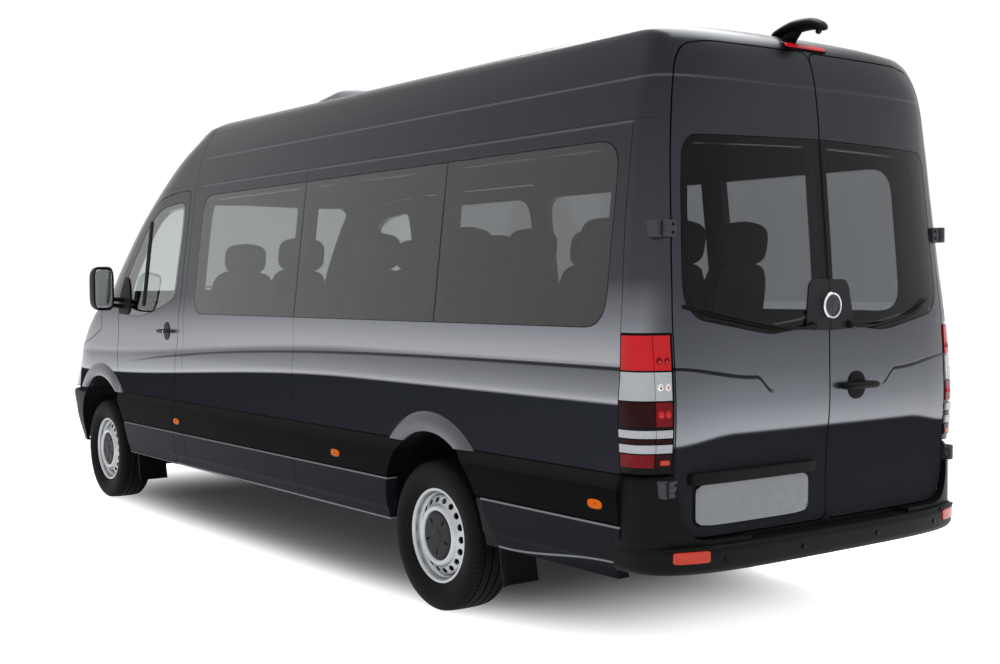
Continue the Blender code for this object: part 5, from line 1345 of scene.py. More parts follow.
@dataclass
class Arch:
    """A lacquered flare over a wheel opening."""

    centre_x: float
    size: tuple
    side: Side
    body: str = "body"
    front: float | None = None
    width: float = 0.095
    low_z: float = 0.7935

    def build(self, name: str) -> None:
        """Builds the flare as a profile carried along the opening, at a growing offset from it."""
        across = np.array([0.000, 0.000, 0.003, 0.010, 0.030, 0.055, 0.075, 0.083, 0.0865, 0.090, 0.095, 0.095, 0.0])
        proud = np.array([-0.030, 0.012, 0.016, 0.0185, 0.0200, 0.0175, 0.0130, 0.0105, 0.006, 0.004, 0.001, -0.006,
                          -0.030])
        radius, top = self.size[0] + across, self.size[1] - self.size[0]
        limit = np.arcsin(np.clip((self.low_z - top) / radius, -1, 1))
        t = np.linspace(0, 1, 73)[:, None]
        angle = limit + (math.pi - 2 * limit) * t
        x, z = self.centre_x + radius * np.cos(angle), top + radius * np.sin(angle)
        if self.front is not None:
            near = np.clip(np.abs(x - self.front) / 0.10, 0, 1)
            proud = np.where(proud > 0, proud * (0.3 + 0.7 * near * near * (3 - 2 * near)), proud)
        y = self.side.value * SKIN.side_y(x, z, proud)
        faces = grid_faces(73, len(across), wrap_cols=True).tolist()
        n = len(across)
        faces += end_faces(73, n)
        lip = outward(to_object("flare", np.stack((x, y, z), axis=-1), faces))
        if self.front is not None:
            rear = cut(twin(lip), box((DOOR_FRONT_X, -OUT, 0.0), (AHEAD, OUT, 2.0)), Body().hinge_scoop(self.side))
            smooth(rear, 40)
            piece(rear, f"{name}_on_door", FLARE_PAINT, f"front_door_{self.side.label}")
            cut(lip, box((0.0, -OUT, 0.0), (DOOR_FRONT_X + DOOR_GAP, OUT, 2.0)))
            line = [(BUMPER_REAR_X - SEAM, 0.0), (4.0, 0.0), (4.0, BUMPER_TOP_Z + SEAM),
                    (BUMPER_REAR_X - SEAM, BUMPER_TOP_Z + SEAM)]
            cut(lip, prism(line, "y", -OUT, OUT))
        smooth(lip, 40)
        piece(lip, name, FLARE_PAINT, self.body)


@dataclass
class Wheel:
    """A pressed steel wheel with round vents, a dark centre cap and a grooved tyre."""

    axle_x: float
    side: Side
    end: str
    rim: float = 0.2184
    holes: int = 18
    hole_radius: float = 0.1665

    def build(self) -> None:
        """Builds the rim, disc, cap and tyre about the axle."""
        name, body = f"{self.end}_{self.side.label}", f"wheel_{self.end}_{self.side.label}"
        centre, flip = (self.axle_x, self.side.value * WHEEL_Y, TYRE_RADIUS), self.side.value
        rim = self.rim
        line = fillet([(rim, 0.083), (rim + 0.0060, 0.086), (rim + 0.0060, 0.0905), (rim - 0.006, 0.0915),
                       (rim - 0.0125, 0.080), (rim - 0.0150, 0.060), (rim - 0.029, 0.048), (rim - 0.033, 0.012),
                       (rim - 0.036, -0.060), (rim - 0.012, -0.088), (rim, -0.088), (rim - 0.008, -0.070),
                       (rim - 0.028, -0.050), (rim - 0.028, 0.034), (rim - 0.008, 0.056)], 0.004, 2)
        barrel = revolved("barrel", line, centre, 128, flip, 28)
        piece(barrel, body, WHEEL_SILVER, body, body)
        disc_line = fillet([(rim - 0.0335, 0.038), (rim - 0.0300, 0.054), (0.183, 0.0610), (0.150, 0.0780),
                            (0.144, 0.0880), (0.137, 0.0960), (0.127, 0.0980), (0.117, 0.0935), (0.112, 0.0800),
                            (0.100, 0.0760), (0.034, 0.0760), (0.034, 0.0700), (0.100, 0.0700), (0.118, 0.0740),
                            (0.124, 0.0880), (0.132, 0.0895), (0.138, 0.0820), (0.146, 0.0725), (0.180, 0.0545),
                            (rim - 0.0390, 0.0400)], 0.005, 2)
        disc = revolved("disc", disc_line, (0, 0, 0), 144, flip, 28)
        angle = np.arange(self.holes) * math.tau / self.holes
        t = np.linspace(0, math.tau, 20, endpoint=False)
        u = self.hole_radius + 0.0128 * np.cos(t)[None] + 0 * angle[:, None]
        v = 0.0172 * np.sin(t)[None] + 0 * angle[:, None]
        x = u * np.cos(angle)[:, None] - v * np.sin(angle)[:, None]
        z = u * np.sin(angle)[:, None] + v * np.cos(angle)[:, None]
        low, high = sorted((flip * 0.030, flip * 0.110))
        for k in range(self.holes):
            hole = prism(np.column_stack((x[k], z[k])), "y", low, high)
            all_holes = hole if k == 0 else self.merged(all_holes, hole)
        cut(disc, all_holes)
        disc.data.transform(Matrix.Translation(centre))
        smooth(disc, 28)
        piece(disc, f"wheel_disc_{name}", WHEEL_SILVER, body)
        self.cap(name, body, flip, centre)
        self.tyre(name, body, flip, centre)

    @staticmethod
    def merged(first: bpy.types.Object, second: bpy.types.Object) -> bpy.types.Object:
        """Puts a second, separate solid into the mesh of the first."""
        shape = bmesh.new()
        shape.from_mesh(first.data)
        shape.from_mesh(second.data)
        shape.to_mesh(first.data)
        shape.free()
        bpy.data.objects.remove(second, do_unlink=True)
        return first

    def cap(self, name: str, body: str, flip: int, centre: tuple) -> None:
        """A slotted plastic cap over the wheel nuts, with a plain raised middle."""
        line = fillet([(0.0002, 0.0975), (0.0260, 0.0975), (0.0320, 0.0950), (0.0400, 0.0935), (0.0700, 0.0935),
                       (0.0980, 0.0930), (0.1070, 0.0900), (0.1110, 0.0830), (0.1110, 0.0780), (0.0340, 0.0780),
                       (0.0320, 0.0905), (0.0002, 0.0920)], 0.0022, 2)
        cap = revolved("cap", line, (0, 0, 0), 80, flip, 30)
        low, high = sorted((flip * 0.076, flip * 0.110))
        for k in range(5):
            slot = prism(fillet([(0.064, -0.0045), (0.094, -0.0060), (0.094, 0.0060), (0.064, 0.0045)], 0.003, 3), "y",
                         low, high)
            slot.data.transform(Matrix.Rotation(math.tau * k / 5 + 0.3, 4, "Y"))
            slots = slot if k == 0 else self.merged(slots, slot)
        cut(cap, slots)
        cap.data.transform(Matrix.Translation(centre))
        smooth(cap, 30)
        piece(cap, f"wheel_cap_{name}", CAP_GREY, body)

    def tyre(self, name: str, body: str, flip: int, centre: tuple) -> None:
        """A tyre whose radius is its profile less the grooves: four round it, and sipes across its shoulders."""
        crown = np.array([(0.2190, -0.084), (0.226, -0.093), (0.245, -0.104), (0.268, -0.1130), (0.292, -0.1168),
                          (0.312, -0.1158), (0.330, -0.1100), (0.341, -0.1030), (0.348, -0.0955)])
        across = np.array([-0.0900, -0.086, -0.0705, -0.0700, -0.0615, -0.0610, -0.045, -0.0265, -0.0260, -0.0175,
                           -0.0170, 0.0])
        depth = np.array([0.0, 0.0, 0.0, 0.0075, 0.0075, 0.0, 0.0, 0.0, 0.0085, 0.0085, 0.0, 0.0])
        belt = TYRE_RADIUS - 0.0042 * np.abs(across / 0.09) ** 3.0 - depth
        left = np.vstack((crown, np.column_stack((belt, across))))
        line = np.vstack((left, (left * (1, -1))[-2::-1]))
        t = np.linspace(0, math.tau, 360, endpoint=False)[:, None]
        y = np.broadcast_to(line[:, 1], (360, len(line)))
        shoulder = (np.abs(line[:, 1]) > 0.0708) & (line[:, 0] > 0.335)
        sipe = (np.arange(360) % 4 == 0)[:, None] & shoulder[None]
        r = line[:, 0] - 0.0040 * sipe
        r = r + 0.0009 * ((np.abs(line[:, 0] - 0.268) < 0.004)[None] * 1.0)
        verts = np.stack((r * np.cos(t), flip * y, r * np.sin(t)), axis=-1) + np.asarray(centre)
        tyre = outward(to_object("tyre", verts, grid_faces(360, len(line), wrap_rows=True, wrap_cols=True)))
        smooth(tyre, 24)
        piece(tyre, f"tyre_{name}", RUBBER, body, f"tyre_{name}")


@dataclass
class Mirror:
    """A door mirror: a rounded housing, a glass that faces backwards and an arm on the door."""

    side: Side

    def build(self) -> None:
        """Builds the housing as a superellipse that shrinks forwards."""
        body, s = f"front_door_{self.side.label}", self.side.value
        middle, half = np.array([1.126, 1.527]), np.array([0.072, 0.152])
        t = np.linspace(0, math.tau, 64, endpoint=False)
        reach = (np.abs(np.cos(t)) ** 4.5 + np.abs(np.sin(t)) ** 4.5) ** (-1 / 4.5)
        along = np.array([0.012, 0.000, 0.000, 0.004, 0.030, 0.070, 0.110, 0.140, 0.158, 0.168])
        scale = np.array([0.90, 0.92, 0.975, 1.00, 1.00, 0.98, 0.90, 0.74, 0.52, 0.22])
        x = np.broadcast_to((2.011 + along)[:, None], (len(along), len(t)))
        y = s * (middle[0] + half[0] * scale[:, None] * np.cos(t) * reach)
        z = middle[1] + half[1] * scale[:, None] * np.sin(t) * reach
        head = capped("head", np.stack((x, y, z), axis=-1))
        smooth(head, 32)
        piece(head, f"mirror_housing_{self.side.label}", BLACK, body, f"mirror_{self.side.label}")

        def facing(a: np.ndarray, b: np.ndarray, h: np.ndarray) -> np.ndarray:
            """Places (y, z, height) on the back of the housing."""
            return np.stack(np.broadcast_arrays(2.0225 - h, s * a, b), axis=-1)
        laid(f"mirror_glass_{self.side.label}", CHROME, facing, (middle[0], middle[1]), (0.061, 0.136), body,
             proud=0.004, square=7.0, crown=14.0, sink=0.001)
        wall = float(SKIN.side_y(2.085, 1.405))
        for k, z in enumerate((1.408, 1.452)):
            path = curve_through([(2.083, s * (wall - 0.004), z - 0.006), (2.086, s * (wall + 0.050), z),
                                  (2.088, s * 1.075, z + 0.008)], 14)
            arm = tube("arm", path, np.linspace(0.019, 0.015, 14), 16, 0.85)
            piece(arm, f"mirror_arm_{self.side.label}_{k + 1}", BLACK, body)
        laid(f"quarter_pane_bar_{self.side.label}", SEAL, on_side(self.side), (1.676, 1.695), (0.026, 0.290), body,
             proud=0.004, square=12.0, crown=6.0, sink=0.010)
        corner = fillet([(1.925, 1.348), (2.108, 1.348), (2.108, 1.520), (2.048, 1.612), (1.978, 1.592),
                         (1.900, 1.420)], 0.03)
        sail = common(cut(loft(-0.007, 1.2, 1.8), loft(-PROUD, 1.1, 1.9)), prism(corner, "y", *span(self.side)))
        skinned(sail, f"mirror_sail_{self.side.label}", BLACK, body)


@dataclass
class RoofFittings:
    """The pale roof unit, the camera pod and the high brake lamp."""

    def build(self) -> None:
        """Builds the three on the roof."""
        x, y = (-0.236, 0.146), 0.516
        t = np.linspace(0, math.tau, 72, endpoint=False)
        reach = (np.abs(np.cos(t)) ** 7 + np.abs(np.sin(t)) ** 7) ** (-1 / 7)
        level = np.array([0.0, 0.55, 0.80, 0.92, 0.98, 1.0, 1.0])
        scale = np.array([1.0, 0.99, 0.975, 0.95, 0.91, 0.86, 0.02])
        px = (x[0] + x[1]) / 2 + (x[1] - x[0]) / 2 * scale[:, None] * np.cos(t) * reach
        py = y * (1 - (1 - scale[:, None]) * 0.6) * np.sin(t) * reach
        py[-1] *= 0.03
        crown = 2.699 - 0.055 * (px - x[0]) / (x[1] - x[0]) - 0.010 * (py / y) ** 2
        pz = 2.575 + (crown - 2.575) * level[:, None]
        unit = capped("unit", np.stack((px, py, pz), axis=-1))
        cut(unit, loft(-PROUD, low=1.5))
        for k in range(5):
            rib = box((x[0] - 0.1, -0.40 + 0.16 * k, 2.654), (x[0] + 0.014, -0.27 + 0.16 * k, 2.661))
            cut(unit, rib)
        smooth(unit, 35)
        piece(unit, "roof_air_unit", PALE, "body", "roof_air_unit")
        for name, finish, half, height, replaced in (
                ("high_brake_lamp", RED_LENS, (0.126, 0.0105), 0.012, ()),
                ("high_brake_lamp_bezel", GLOSS_BLACK, (0.136, 0.0165), 0.006, ("rear_camera_and_brake_lamp",))):
            part = pillow(name, self.on_lip, (0.0, 2.5345), half, proud=height, square=8.0, crown=8.0, sink=0.006)
            cut(part, loft(-PROUD, low=1.5))
            smooth(part, 40)
            piece(part, name, finish, "body", *replaced)
        self.pod()

    @staticmethod
    def on_lip(a: np.ndarray, b: np.ndarray, h: np.ndarray) -> np.ndarray:
        """Places (y, z, height) on the roof's rear lip."""
        return on_tail(a, b, h)

    @staticmethod
    def pod() -> None:
        """A streamlined camera pod: ellipses along a path that rises backwards and turns down at the lens."""
        path = curve_through([(-3.085, 0, 2.590), (-3.150, 0, 2.612), (-3.230, 0, 2.627), (-3.310, 0, 2.626),
                              (-3.362, 0, 2.610), (-3.378, 0, 2.598)], 28)
        share = np.linspace(0, 1, 28)
        high = np.interp(share, (0, 0.12, 0.45, 0.80, 0.95, 1.0), (0.004, 0.022, 0.027, 0.025, 0.020, 0.006))
        wide = np.interp(share, (0, 0.12, 0.45, 0.80, 0.95, 1.0), (0.012, 0.040, 0.050, 0.046, 0.036, 0.010))
        t = np.linspace(0, math.tau, 28, endpoint=False)
        rings = np.stack((path[:, :1] + 0 * t, wide[:, None] * np.cos(t), path[:, 2:] + high[:, None] * np.sin(t)),
                         axis=-1)
        pod = capped("pod", rings)
        foot_path = [(-3.165, 0, 2.560), (-3.190, 0, 2.585), (-3.225, 0, 2.615)]
        foot = tube("foot", curve_through(foot_path, 10), np.linspace(0.034, 0.026, 10), 20, 1.0, (0, 1, 0))
        cut(foot, loft(-0.0008, low=1.5))
        cut(pod, loft(-0.0008, low=1.5))
        smooth(pod, 40)
        smooth(foot, 40)
        piece(pod, "rear_camera_pod", BLACK)
        piece(foot, "rear_camera_foot", BLACK)
        eye = revolved("eye", [(0.0002, 0.0), (0.012, 0.0), (0.0135, 0.004), (0.0135, 0.012), (0.0002, 0.012)],
                       (0, 0, 0), 28)
        eye.data.transform(Matrix.Translation((-3.350, 0, 2.588)) @ Matrix.Rotation(math.radians(60), 4, "Y")
                           @ Matrix.Rotation(math.radians(90), 4, "X"))
        smooth(eye, 40)
        piece(eye, "rear_camera_eye", GLOSS_BLACK)


@dataclass
class TailTrim:
    """What is fixed to the rear doors: hinges, handle, plate, light bar, middle cover, disc and wipers."""

    def build(self) -> None:
        """Builds the trim of both doors."""
        for side in Side:
            self.hinges(side)
            self.cover(side)
            self.wiper(side)
        self.handle()
        self.plate()
        seal = common(cut(loft(0.006), loft(0.022, low=0.25)), box((BEHIND, -0.0032, REAR_DOOR_Z[0]),
                                                                   (-3.0, 0.0042, REAR_DOOR_Z[1])))
        skinned(seal, "rear_door_seal", SEAL, "rear_door_left")

    @staticmethod
    def hinges(side: Side) -> None:
        """Bracket hinges on the door's axis: a leaf on the door, a plate on the corner and a knuckle between.

        Leaf and plate are flat outside, level with the axis, and as deep as the skin is far from it. The plate
        lies deeper than the bolt heads stand proud, so that they swing clear of it.
        """
        s, door = side.value, f"rear_door_{side.label}"
        for k, (z, x, y, reach) in enumerate(REAR_HINGES):
            def level(depth: float) -> Place:
                """A flat place for (y, z, height), so far in front of the axis."""
                return lambda a, b, h: np.stack(np.broadcast_arrays(x + depth - h, a, b), axis=-1)
            behind = float(SKIN.tail_x(y - 0.007, z)) - x - 0.001
            laid(f"hinge_leaf_{side.label}_{k + 1}", HINGE, level(0.004), (s * (y - 0.007 - reach), z), (reach, 0.033),
                 door, proud=0.004, square=8.0, crown=8.0, sink=behind)
            for j in (-1, 1):
                laid(f"hinge_bolt_{side.label}_{k + 1}{'ab'[j > 0]}", IRON, level(0.0),
                     (s * (y - 0.008 - 1.3 * reach), z + 0.016 * j), (0.0065, 0.0065), door, proud=0.003, square=2.0,
                     crown=5.0, sink=0.002, steps=20)
            behind = float(SKIN.tail_x(y + 0.035, z)) - x - 0.0055
            laid(f"hinge_plate_{side.label}_{k + 1}", HINGE, level(0.0085), (s * (y + 0.021), z), (0.014, 0.035),
                 proud=0.003, square=8.0, crown=8.0, sink=behind)
            line = [(0.0002, -0.031), (0.0100, -0.031), (0.0115, -0.029), (0.0115, -0.0115), (0.0098, -0.0100),
                    (0.0115, -0.0085), (0.0115, 0.0085), (0.0098, 0.0100), (0.0115, 0.0115), (0.0115, 0.029),
                    (0.0100, 0.031), (0.0002, 0.031)]
            knuckle = revolved("knuckle", line, (0, 0, 0), 24)
            knuckle.data.transform(Matrix.Translation((x, s * y, z)) @ Matrix.Rotation(math.radians(90), 4, "X"))
            smooth(knuckle, 30)
            piece(knuckle, f"hinge_knuckle_{side.label}_{k + 1}", HINGE)

    @staticmethod
    def cover(side: Side) -> None:
        """Half of the black cover below the panes, and half of the plain bright disc on it."""
        s, door = side.value, f"rear_door_{side.label}"
        outline = fillet([(0.0025, 1.338), (0.150, 1.345), (0.140, 1.440), (0.125, 1.530), (0.100, 1.552),
                          (0.0025, 1.552)],
                         np.array([0.0002, 0.035, 0.035, 0.020, 0.020, 0.0002]), 6)
        line = outline if side is Side.LEFT else mirrored(outline)
        cover = common(cut(loft(-0.008, 1.2, 1.7), loft(-PROUD, 1.1, 1.8)), prism(line, "x", BEHIND, -3.0))
        skinned(cover, f"rear_cover_{side.label}", COVER_GREY, door)
        x = float(SKIN.tail_x(0.0, 1.442))
        y0, y1 = sorted((s * 0.0010, s * 0.2))
        rings = {"plain_disc": (CHROME, [(0.0450, 0.018), (0.0465, 0.025), (0.0535, 0.0255), (0.0560, 0.022),
                                         (0.0560, 0.004), (0.0450, 0.004)]),
                 "plain_disc_middle": (HINGE, [(0.0002, 0.020), (0.030, 0.0190), (0.0452, 0.0165), (0.0452, 0.004),
                                               (0.0002, 0.004)])}
        for name, (finish, line) in rings.items():
            disc = revolved("disc", line, (0, 0, 0), 64)
            disc.data.transform(Matrix.Translation((x, 0, 1.442)) @ Matrix.Rotation(math.radians(90), 4, "Z"))
            common(disc, box((BEHIND, y0, 1.0), (-3.0, y1, 2.0)))
            smooth(disc, 25)
            piece(disc, f"{name}_{side.label}", finish, door)

    @staticmethod
    def wiper(side: Side) -> None:
        """An arm that leaves the cover and holds a thin blade along the foot of the pane."""
        s, door = side.value, f"rear_door_{side.label}"
        tip = (0.800, 1.457) if side is Side.LEFT else (0.690, 1.463)
        knots = np.array([(0.118, 1.360), (0.190, 1.352), (0.330, 1.362), (0.560, 1.403), tip])
        lift = np.array([0.022, 0.026, 0.022, 0.017, 0.013])
        flat = curve_through(np.column_stack((knots, lift)).tolist(), 40) * (s, 1, 1)
        wiper(("rear_wiper", side.label), on_tail, flat, ((0, 0.05, 0.3, 1), (0.012, 0.011, 0.0065, 0.0032)),
              (11, -0.010, -0.008), (0.0042, 1.4), door)
        laid(f"rear_wiper_pivot_{side.label}", BLACK, on_tail, (s * 0.118, 1.361), (0.019, 0.017), door, proud=0.032,
             square=2.0, crown=4.0, steps=32)

    @staticmethod
    def handle() -> None:
        """The pull handle of the right rear door, over a round recess."""
        door = "rear_door_right"
        laid("rear_door_handle_rose", BLACK, on_tail, (-0.172, 1.101), (0.058, 0.060), door, proud=0.005, square=2.3,
             crown=6.0)
        path = curve_through([(-0.077, 1.101, 0.010), (-0.090, 1.101, 0.034), (-0.172, 1.101, 0.040),
                              (-0.254, 1.101, 0.034), (-0.267, 1.101, 0.010)], 30)
        bar = tube("bar", on_tail(path[:, 0], path[:, 1], path[:, 2]), 0.0205, 16, 0.70)
        piece(bar, "rear_door_handle", BLACK, door)
        laid("rear_door_lock", CHROME, on_tail, (-0.104, 1.101), (0.009, 0.009), door, proud=0.0560, square=2.0,
             crown=6.0, sink=-0.045, steps=24)

    @staticmethod
    def plate() -> None:
        """A bare number plate under its light bar."""
        door = "rear_door_left"
        laid("plate_light_bar", BLACK, on_tail, (0.4375, 0.778), (0.3515, 0.0245), door, proud=0.030, square=20.0,
             crown=8.0)
        laid("blank_number_plate", BARE_PLATE, on_tail, (0.4345, 0.6720), (0.3235, 0.0850), door, proud=0.008,
             square=9.0, crown=20.0)
        laid("number_plate_holder", SEAL, on_tail, (0.4345, 0.6720), (0.3275, 0.0885), door, proud=0.0065,
             square=9.0, crown=16.0)


@dataclass
class NoseTrim:
    """What is fixed to the front: grille slats, head lamp bowls, a blank plate and the windscreen wipers."""

    slats: tuple = (0.815, 0.875, 0.935, 0.995)
    bowls: tuple = ((0.620, 0.905, 0.066), (0.770, 0.925, 0.056))

    def build(self) -> None:
        """Builds the trim of both halves."""
        for k, z in enumerate(self.slats):
            laid(f"grille_slat_{k + 1}", CAP_GREY, on_nose, (0.0, z), (0.470, 0.0135), proud=0.012, square=10.0,
                 crown=3.0, sink=0.004, steps=96)
        for k in range(3):
            laid(f"front_intake_bar_{k + 1}", BLACK, on_nose, (0.0, 0.500 + 0.035 * k), (0.560, 0.005), proud=-0.014,
                 square=12.0, crown=4.0, sink=0.022, steps=96)
        laid("front_plate_holder", SEAL, on_nose, (0.0, 0.675), (0.266, 0.061), proud=0.010, square=12.0, crown=12.0,
             sink=0.006, steps=96)
        laid("front_blank_plate", BARE_PLATE, on_nose, (0.0, 0.675), (0.260, 0.055), proud=0.0125, square=12.0,
             crown=12.0, sink=-0.004, steps=96)
        for side in Side:
            s = side.value
            for k, (y, z, r) in enumerate(self.bowls):
                name = f"{side.label}_{k + 1}"
                laid(f"head_lamp_rim_{name}", GLOSS_BLACK, on_nose, (s * y, z), (r, r), proud=0.004, square=2.0,
                     crown=8.0, sink=0.003)
                laid(f"head_lamp_dish_{name}", CHROME, on_nose, (s * y, z), (r - 0.008, r - 0.008), proud=0.0065,
                     square=2.0, crown=6.0, sink=-0.002)
                laid(f"head_lamp_bulb_{name}", WHITE_LENS, on_nose, (s * y, z), (0.45 * r, 0.45 * r), proud=0.011,
                     square=2.0, crown=2.4, sink=-0.004)
            laid(f"head_lamp_turn_signal_{side.label}", AMBER, on_nose, (s * 0.690, 0.818), (0.130, 0.017),
                 proud=0.0045, square=6.0, crown=6.0, sink=0.003)
        for k, knots in enumerate((((0.600, 1.452, 0.020), (0.480, 1.462, 0.026), (0.200, 1.498, 0.020),
                                    (-0.020, 1.530, 0.016)),
                                   ((-0.130, 1.452, 0.020), (-0.250, 1.462, 0.026), (-0.520, 1.500, 0.020),
                                    (-0.720, 1.538, 0.016)))):
            wiper(("front_wiper", k + 1), on_nose, curve_through(knots, 36),
                  ((0, 0.06, 0.3, 1), (0.013, 0.011, 0.007, 0.004)), (8, 0.006, -0.011), (0.0045, 1.3))


@dataclass
class SideTrim:
    """Handles, side markers, the window rail's groove and the mud flaps of one side."""

    side: Side

    def build(self) -> None:
        """Builds the small parts of the side."""
        place, label = on_side(self.side), self.side.label
        self.handle("front_door_handle", 1.262, 1.247, f"front_door_{label}", 1)
        if self.side is Side.RIGHT:
            self.handle("sliding_door_handle", 0.905, 1.230, "body", -1)
            laid("sliding_door_rail", SEAL, place, (-1.62, 1.292), (1.270, 0.013), proud=0.004, square=14.0, crown=6.0)
        for k, x in enumerate((1.083, -0.987, -3.063)):
            laid(f"side_marker_bed_{label}_{k + 1}", SEAL, place, (x, 0.668), (0.053, 0.0255), proud=0.0115,
                 square=3.0, crown=6.0, sink=-0.004)
            laid(f"side_marker_{label}_{k + 1}", AMBER, place, (x, 0.668), (0.048, 0.0210), proud=0.0165, square=2.7,
                 crown=3.5, sink=-0.004)
            laid(f"side_marker_bulb_{label}_{k + 1}", DEEP_RED, place, (x - 0.004, 0.668), (0.008, 0.008),
                 proud=0.0175, square=2.0, crown=3.0, sink=-0.010, steps=20)
        self.flap("rear", -2.335, (0.745, 0.955), 0.205, 0.470)
        self.flap("front", 1.905, (0.745, 0.950), 0.190, 0.400)
        self.riser()

    def handle(self, name: str, x: float, z: float, body: str, ahead: int) -> None:
        """A pull handle over an oval recess."""
        place, label = on_side(self.side), self.side.label
        laid(f"{name}_rose_{label}", GLOSS_BLACK, place, (x, z), (0.050, 0.060), body, proud=0.004, square=2.2,
             crown=6.0)
        path = curve_through([(x + ahead * 0.072, z, 0.008), (x + ahead * 0.062, z, 0.032), (x, z, 0.040),
                              (x - ahead * 0.068, z, 0.032), (x - ahead * 0.078, z, 0.008)], 30)
        bar = tube("bar", place(path[:, 0], path[:, 1], path[:, 2]), 0.0165, 16, 0.75)
        piece(bar, f"{name}_{label}", CAP_GREY, body)
        laid(f"{name}_lock_{label}", CHROME, place, (x - ahead * 0.050, z), (0.008, 0.008), body, proud=0.0535,
             square=2.0, crown=6.0, sink=-0.044, steps=24)

    def riser(self) -> None:
        """The wall under a cab door's opening, from the cab floor down to the sill, clear of the mud flap."""
        line = [(self.side.value * y, z) for y, z in ((0.876, 0.372), (0.903, 0.372), (0.903, 0.384), (0.894, 0.384),
                                                      (0.894, 0.630), (0.876, 0.630))]
        wall = prism(line, "x", 1.170, 2.020)
        cut(wall, box((1.855, -OUT, 0.0), (1.920, OUT, 0.408)))
        smooth(wall, 30)
        piece(wall, f"cab_step_riser_{self.side.label}", BLACK)

    def flap(self, end: str, x: float, across: tuple, low_z: float, top_z: float) -> None:
        """A moulded rubber flap: a thin curved plate with a thick hem, behind a wheel."""
        u, v = np.meshgrid(np.linspace(0, 1, 24), np.linspace(0, 1, 20))
        y = across[0] + (across[1] - across[0]) * u
        z = low_z + (top_z - low_z) * v
        bend = x - 0.030 * (1 - v) ** 2 - 0.022 * np.clip((u - 0.75) / 0.25, 0, 1) ** 2
        thick = 0.0035 + 0.0025 * (np.maximum(np.abs(2 * u - 1), 1 - 2 * v) > 0.88)
        front = np.stack((bend + thick, self.side.value * y, z), axis=-1)
        back = np.stack((bend - thick, self.side.value * y, z), axis=-1)
        rows, cols = u.shape
        verts = np.vstack((front.reshape(-1, 3), back.reshape(-1, 3)))
        k = np.arange(rows * cols).reshape(rows, cols)
        rim = np.concatenate((k[0], k[1:, -1], k[-1, -2::-1], k[-2:0:-1, 0]))
        after = np.roll(rim, -1)
        n = rows * cols
        faces = grid_faces(rows, cols).tolist() + (grid_faces(rows, cols) + n).tolist()
        faces += np.stack((rim, after, after + n, rim + n), axis=1).tolist()
        flap = outward(to_object("flap", verts, faces))
        smooth(flap, 30)
        piece(flap, f"mud_flap_{end}_{self.side.label}", SEAL)


# ------------------------------------------------------------------ the cabin
@dataclass
class Cushion:
    """A padded form: a rounded block of cloth, blown up a little and then copied to each seat."""

    half: tuple
    square: float = 3.2
    swell: float = 4.0
    cap: float = 0.012
    voxel: float = 0.006
    frames: int = 20

    def make(self, name: str) -> bpy.types.Object:
        """A superellipsoid, filled out by a short cloth run."""
        rings = superellipsoid(self.half, self.square, 23, 48)
        poles = np.array([[0, 0, -self.half[2]], [0, 0, self.half[2]]])
        rows, cols = rings.shape[:2]
        faces = grid_faces(rows, cols, wrap_cols=True).tolist() + end_fans(rows, cols).tolist()
        pad = outward(to_object(name, np.vstack((rings.reshape(-1, 3), poles)), faces))
        self.inflate(pad)
        smooth(pad, 180)
        return pad

    def inflate(self, pad: bpy.types.Object) -> None:
        """Even quads, a short pressure run without gravity, and a cap on how far a point may move."""
        change = pad.modifiers.new("even", "REMESH")
        change.mode, change.voxel_size = "VOXEL", self.voxel
        applied(pad)
        count = len(pad.data.vertices)
        rest = np.empty(count * 3)
        pad.data.vertices.foreach_get("co", rest)
        cloth = pad.modifiers.new("cloth", "CLOTH")
        cloth.settings.use_pressure = True
        cloth.settings.uniform_pressure_force = self.swell
        cloth.settings.effector_weights.gravity = 0.0
        cloth.settings.quality = 4
        cloth.point_cache.frame_start, cloth.point_cache.frame_end = 1, self.frames
        for frame_number in range(1, self.frames + 1):
            bpy.context.scene.frame_set(frame_number)
        applied(pad)
        bpy.context.scene.frame_set(1)
        moved = np.empty(count * 3)
        pad.data.vertices.foreach_get("co", moved)
        shift = (moved - rest).reshape(-1, 3)
        far = np.linalg.norm(shift, axis=1)[:, None]
        shift *= np.minimum(1.0, self.cap / np.maximum(far, 1e-9))
        pad.data.vertices.foreach_set("co", (rest.reshape(-1, 3) + shift).ravel())


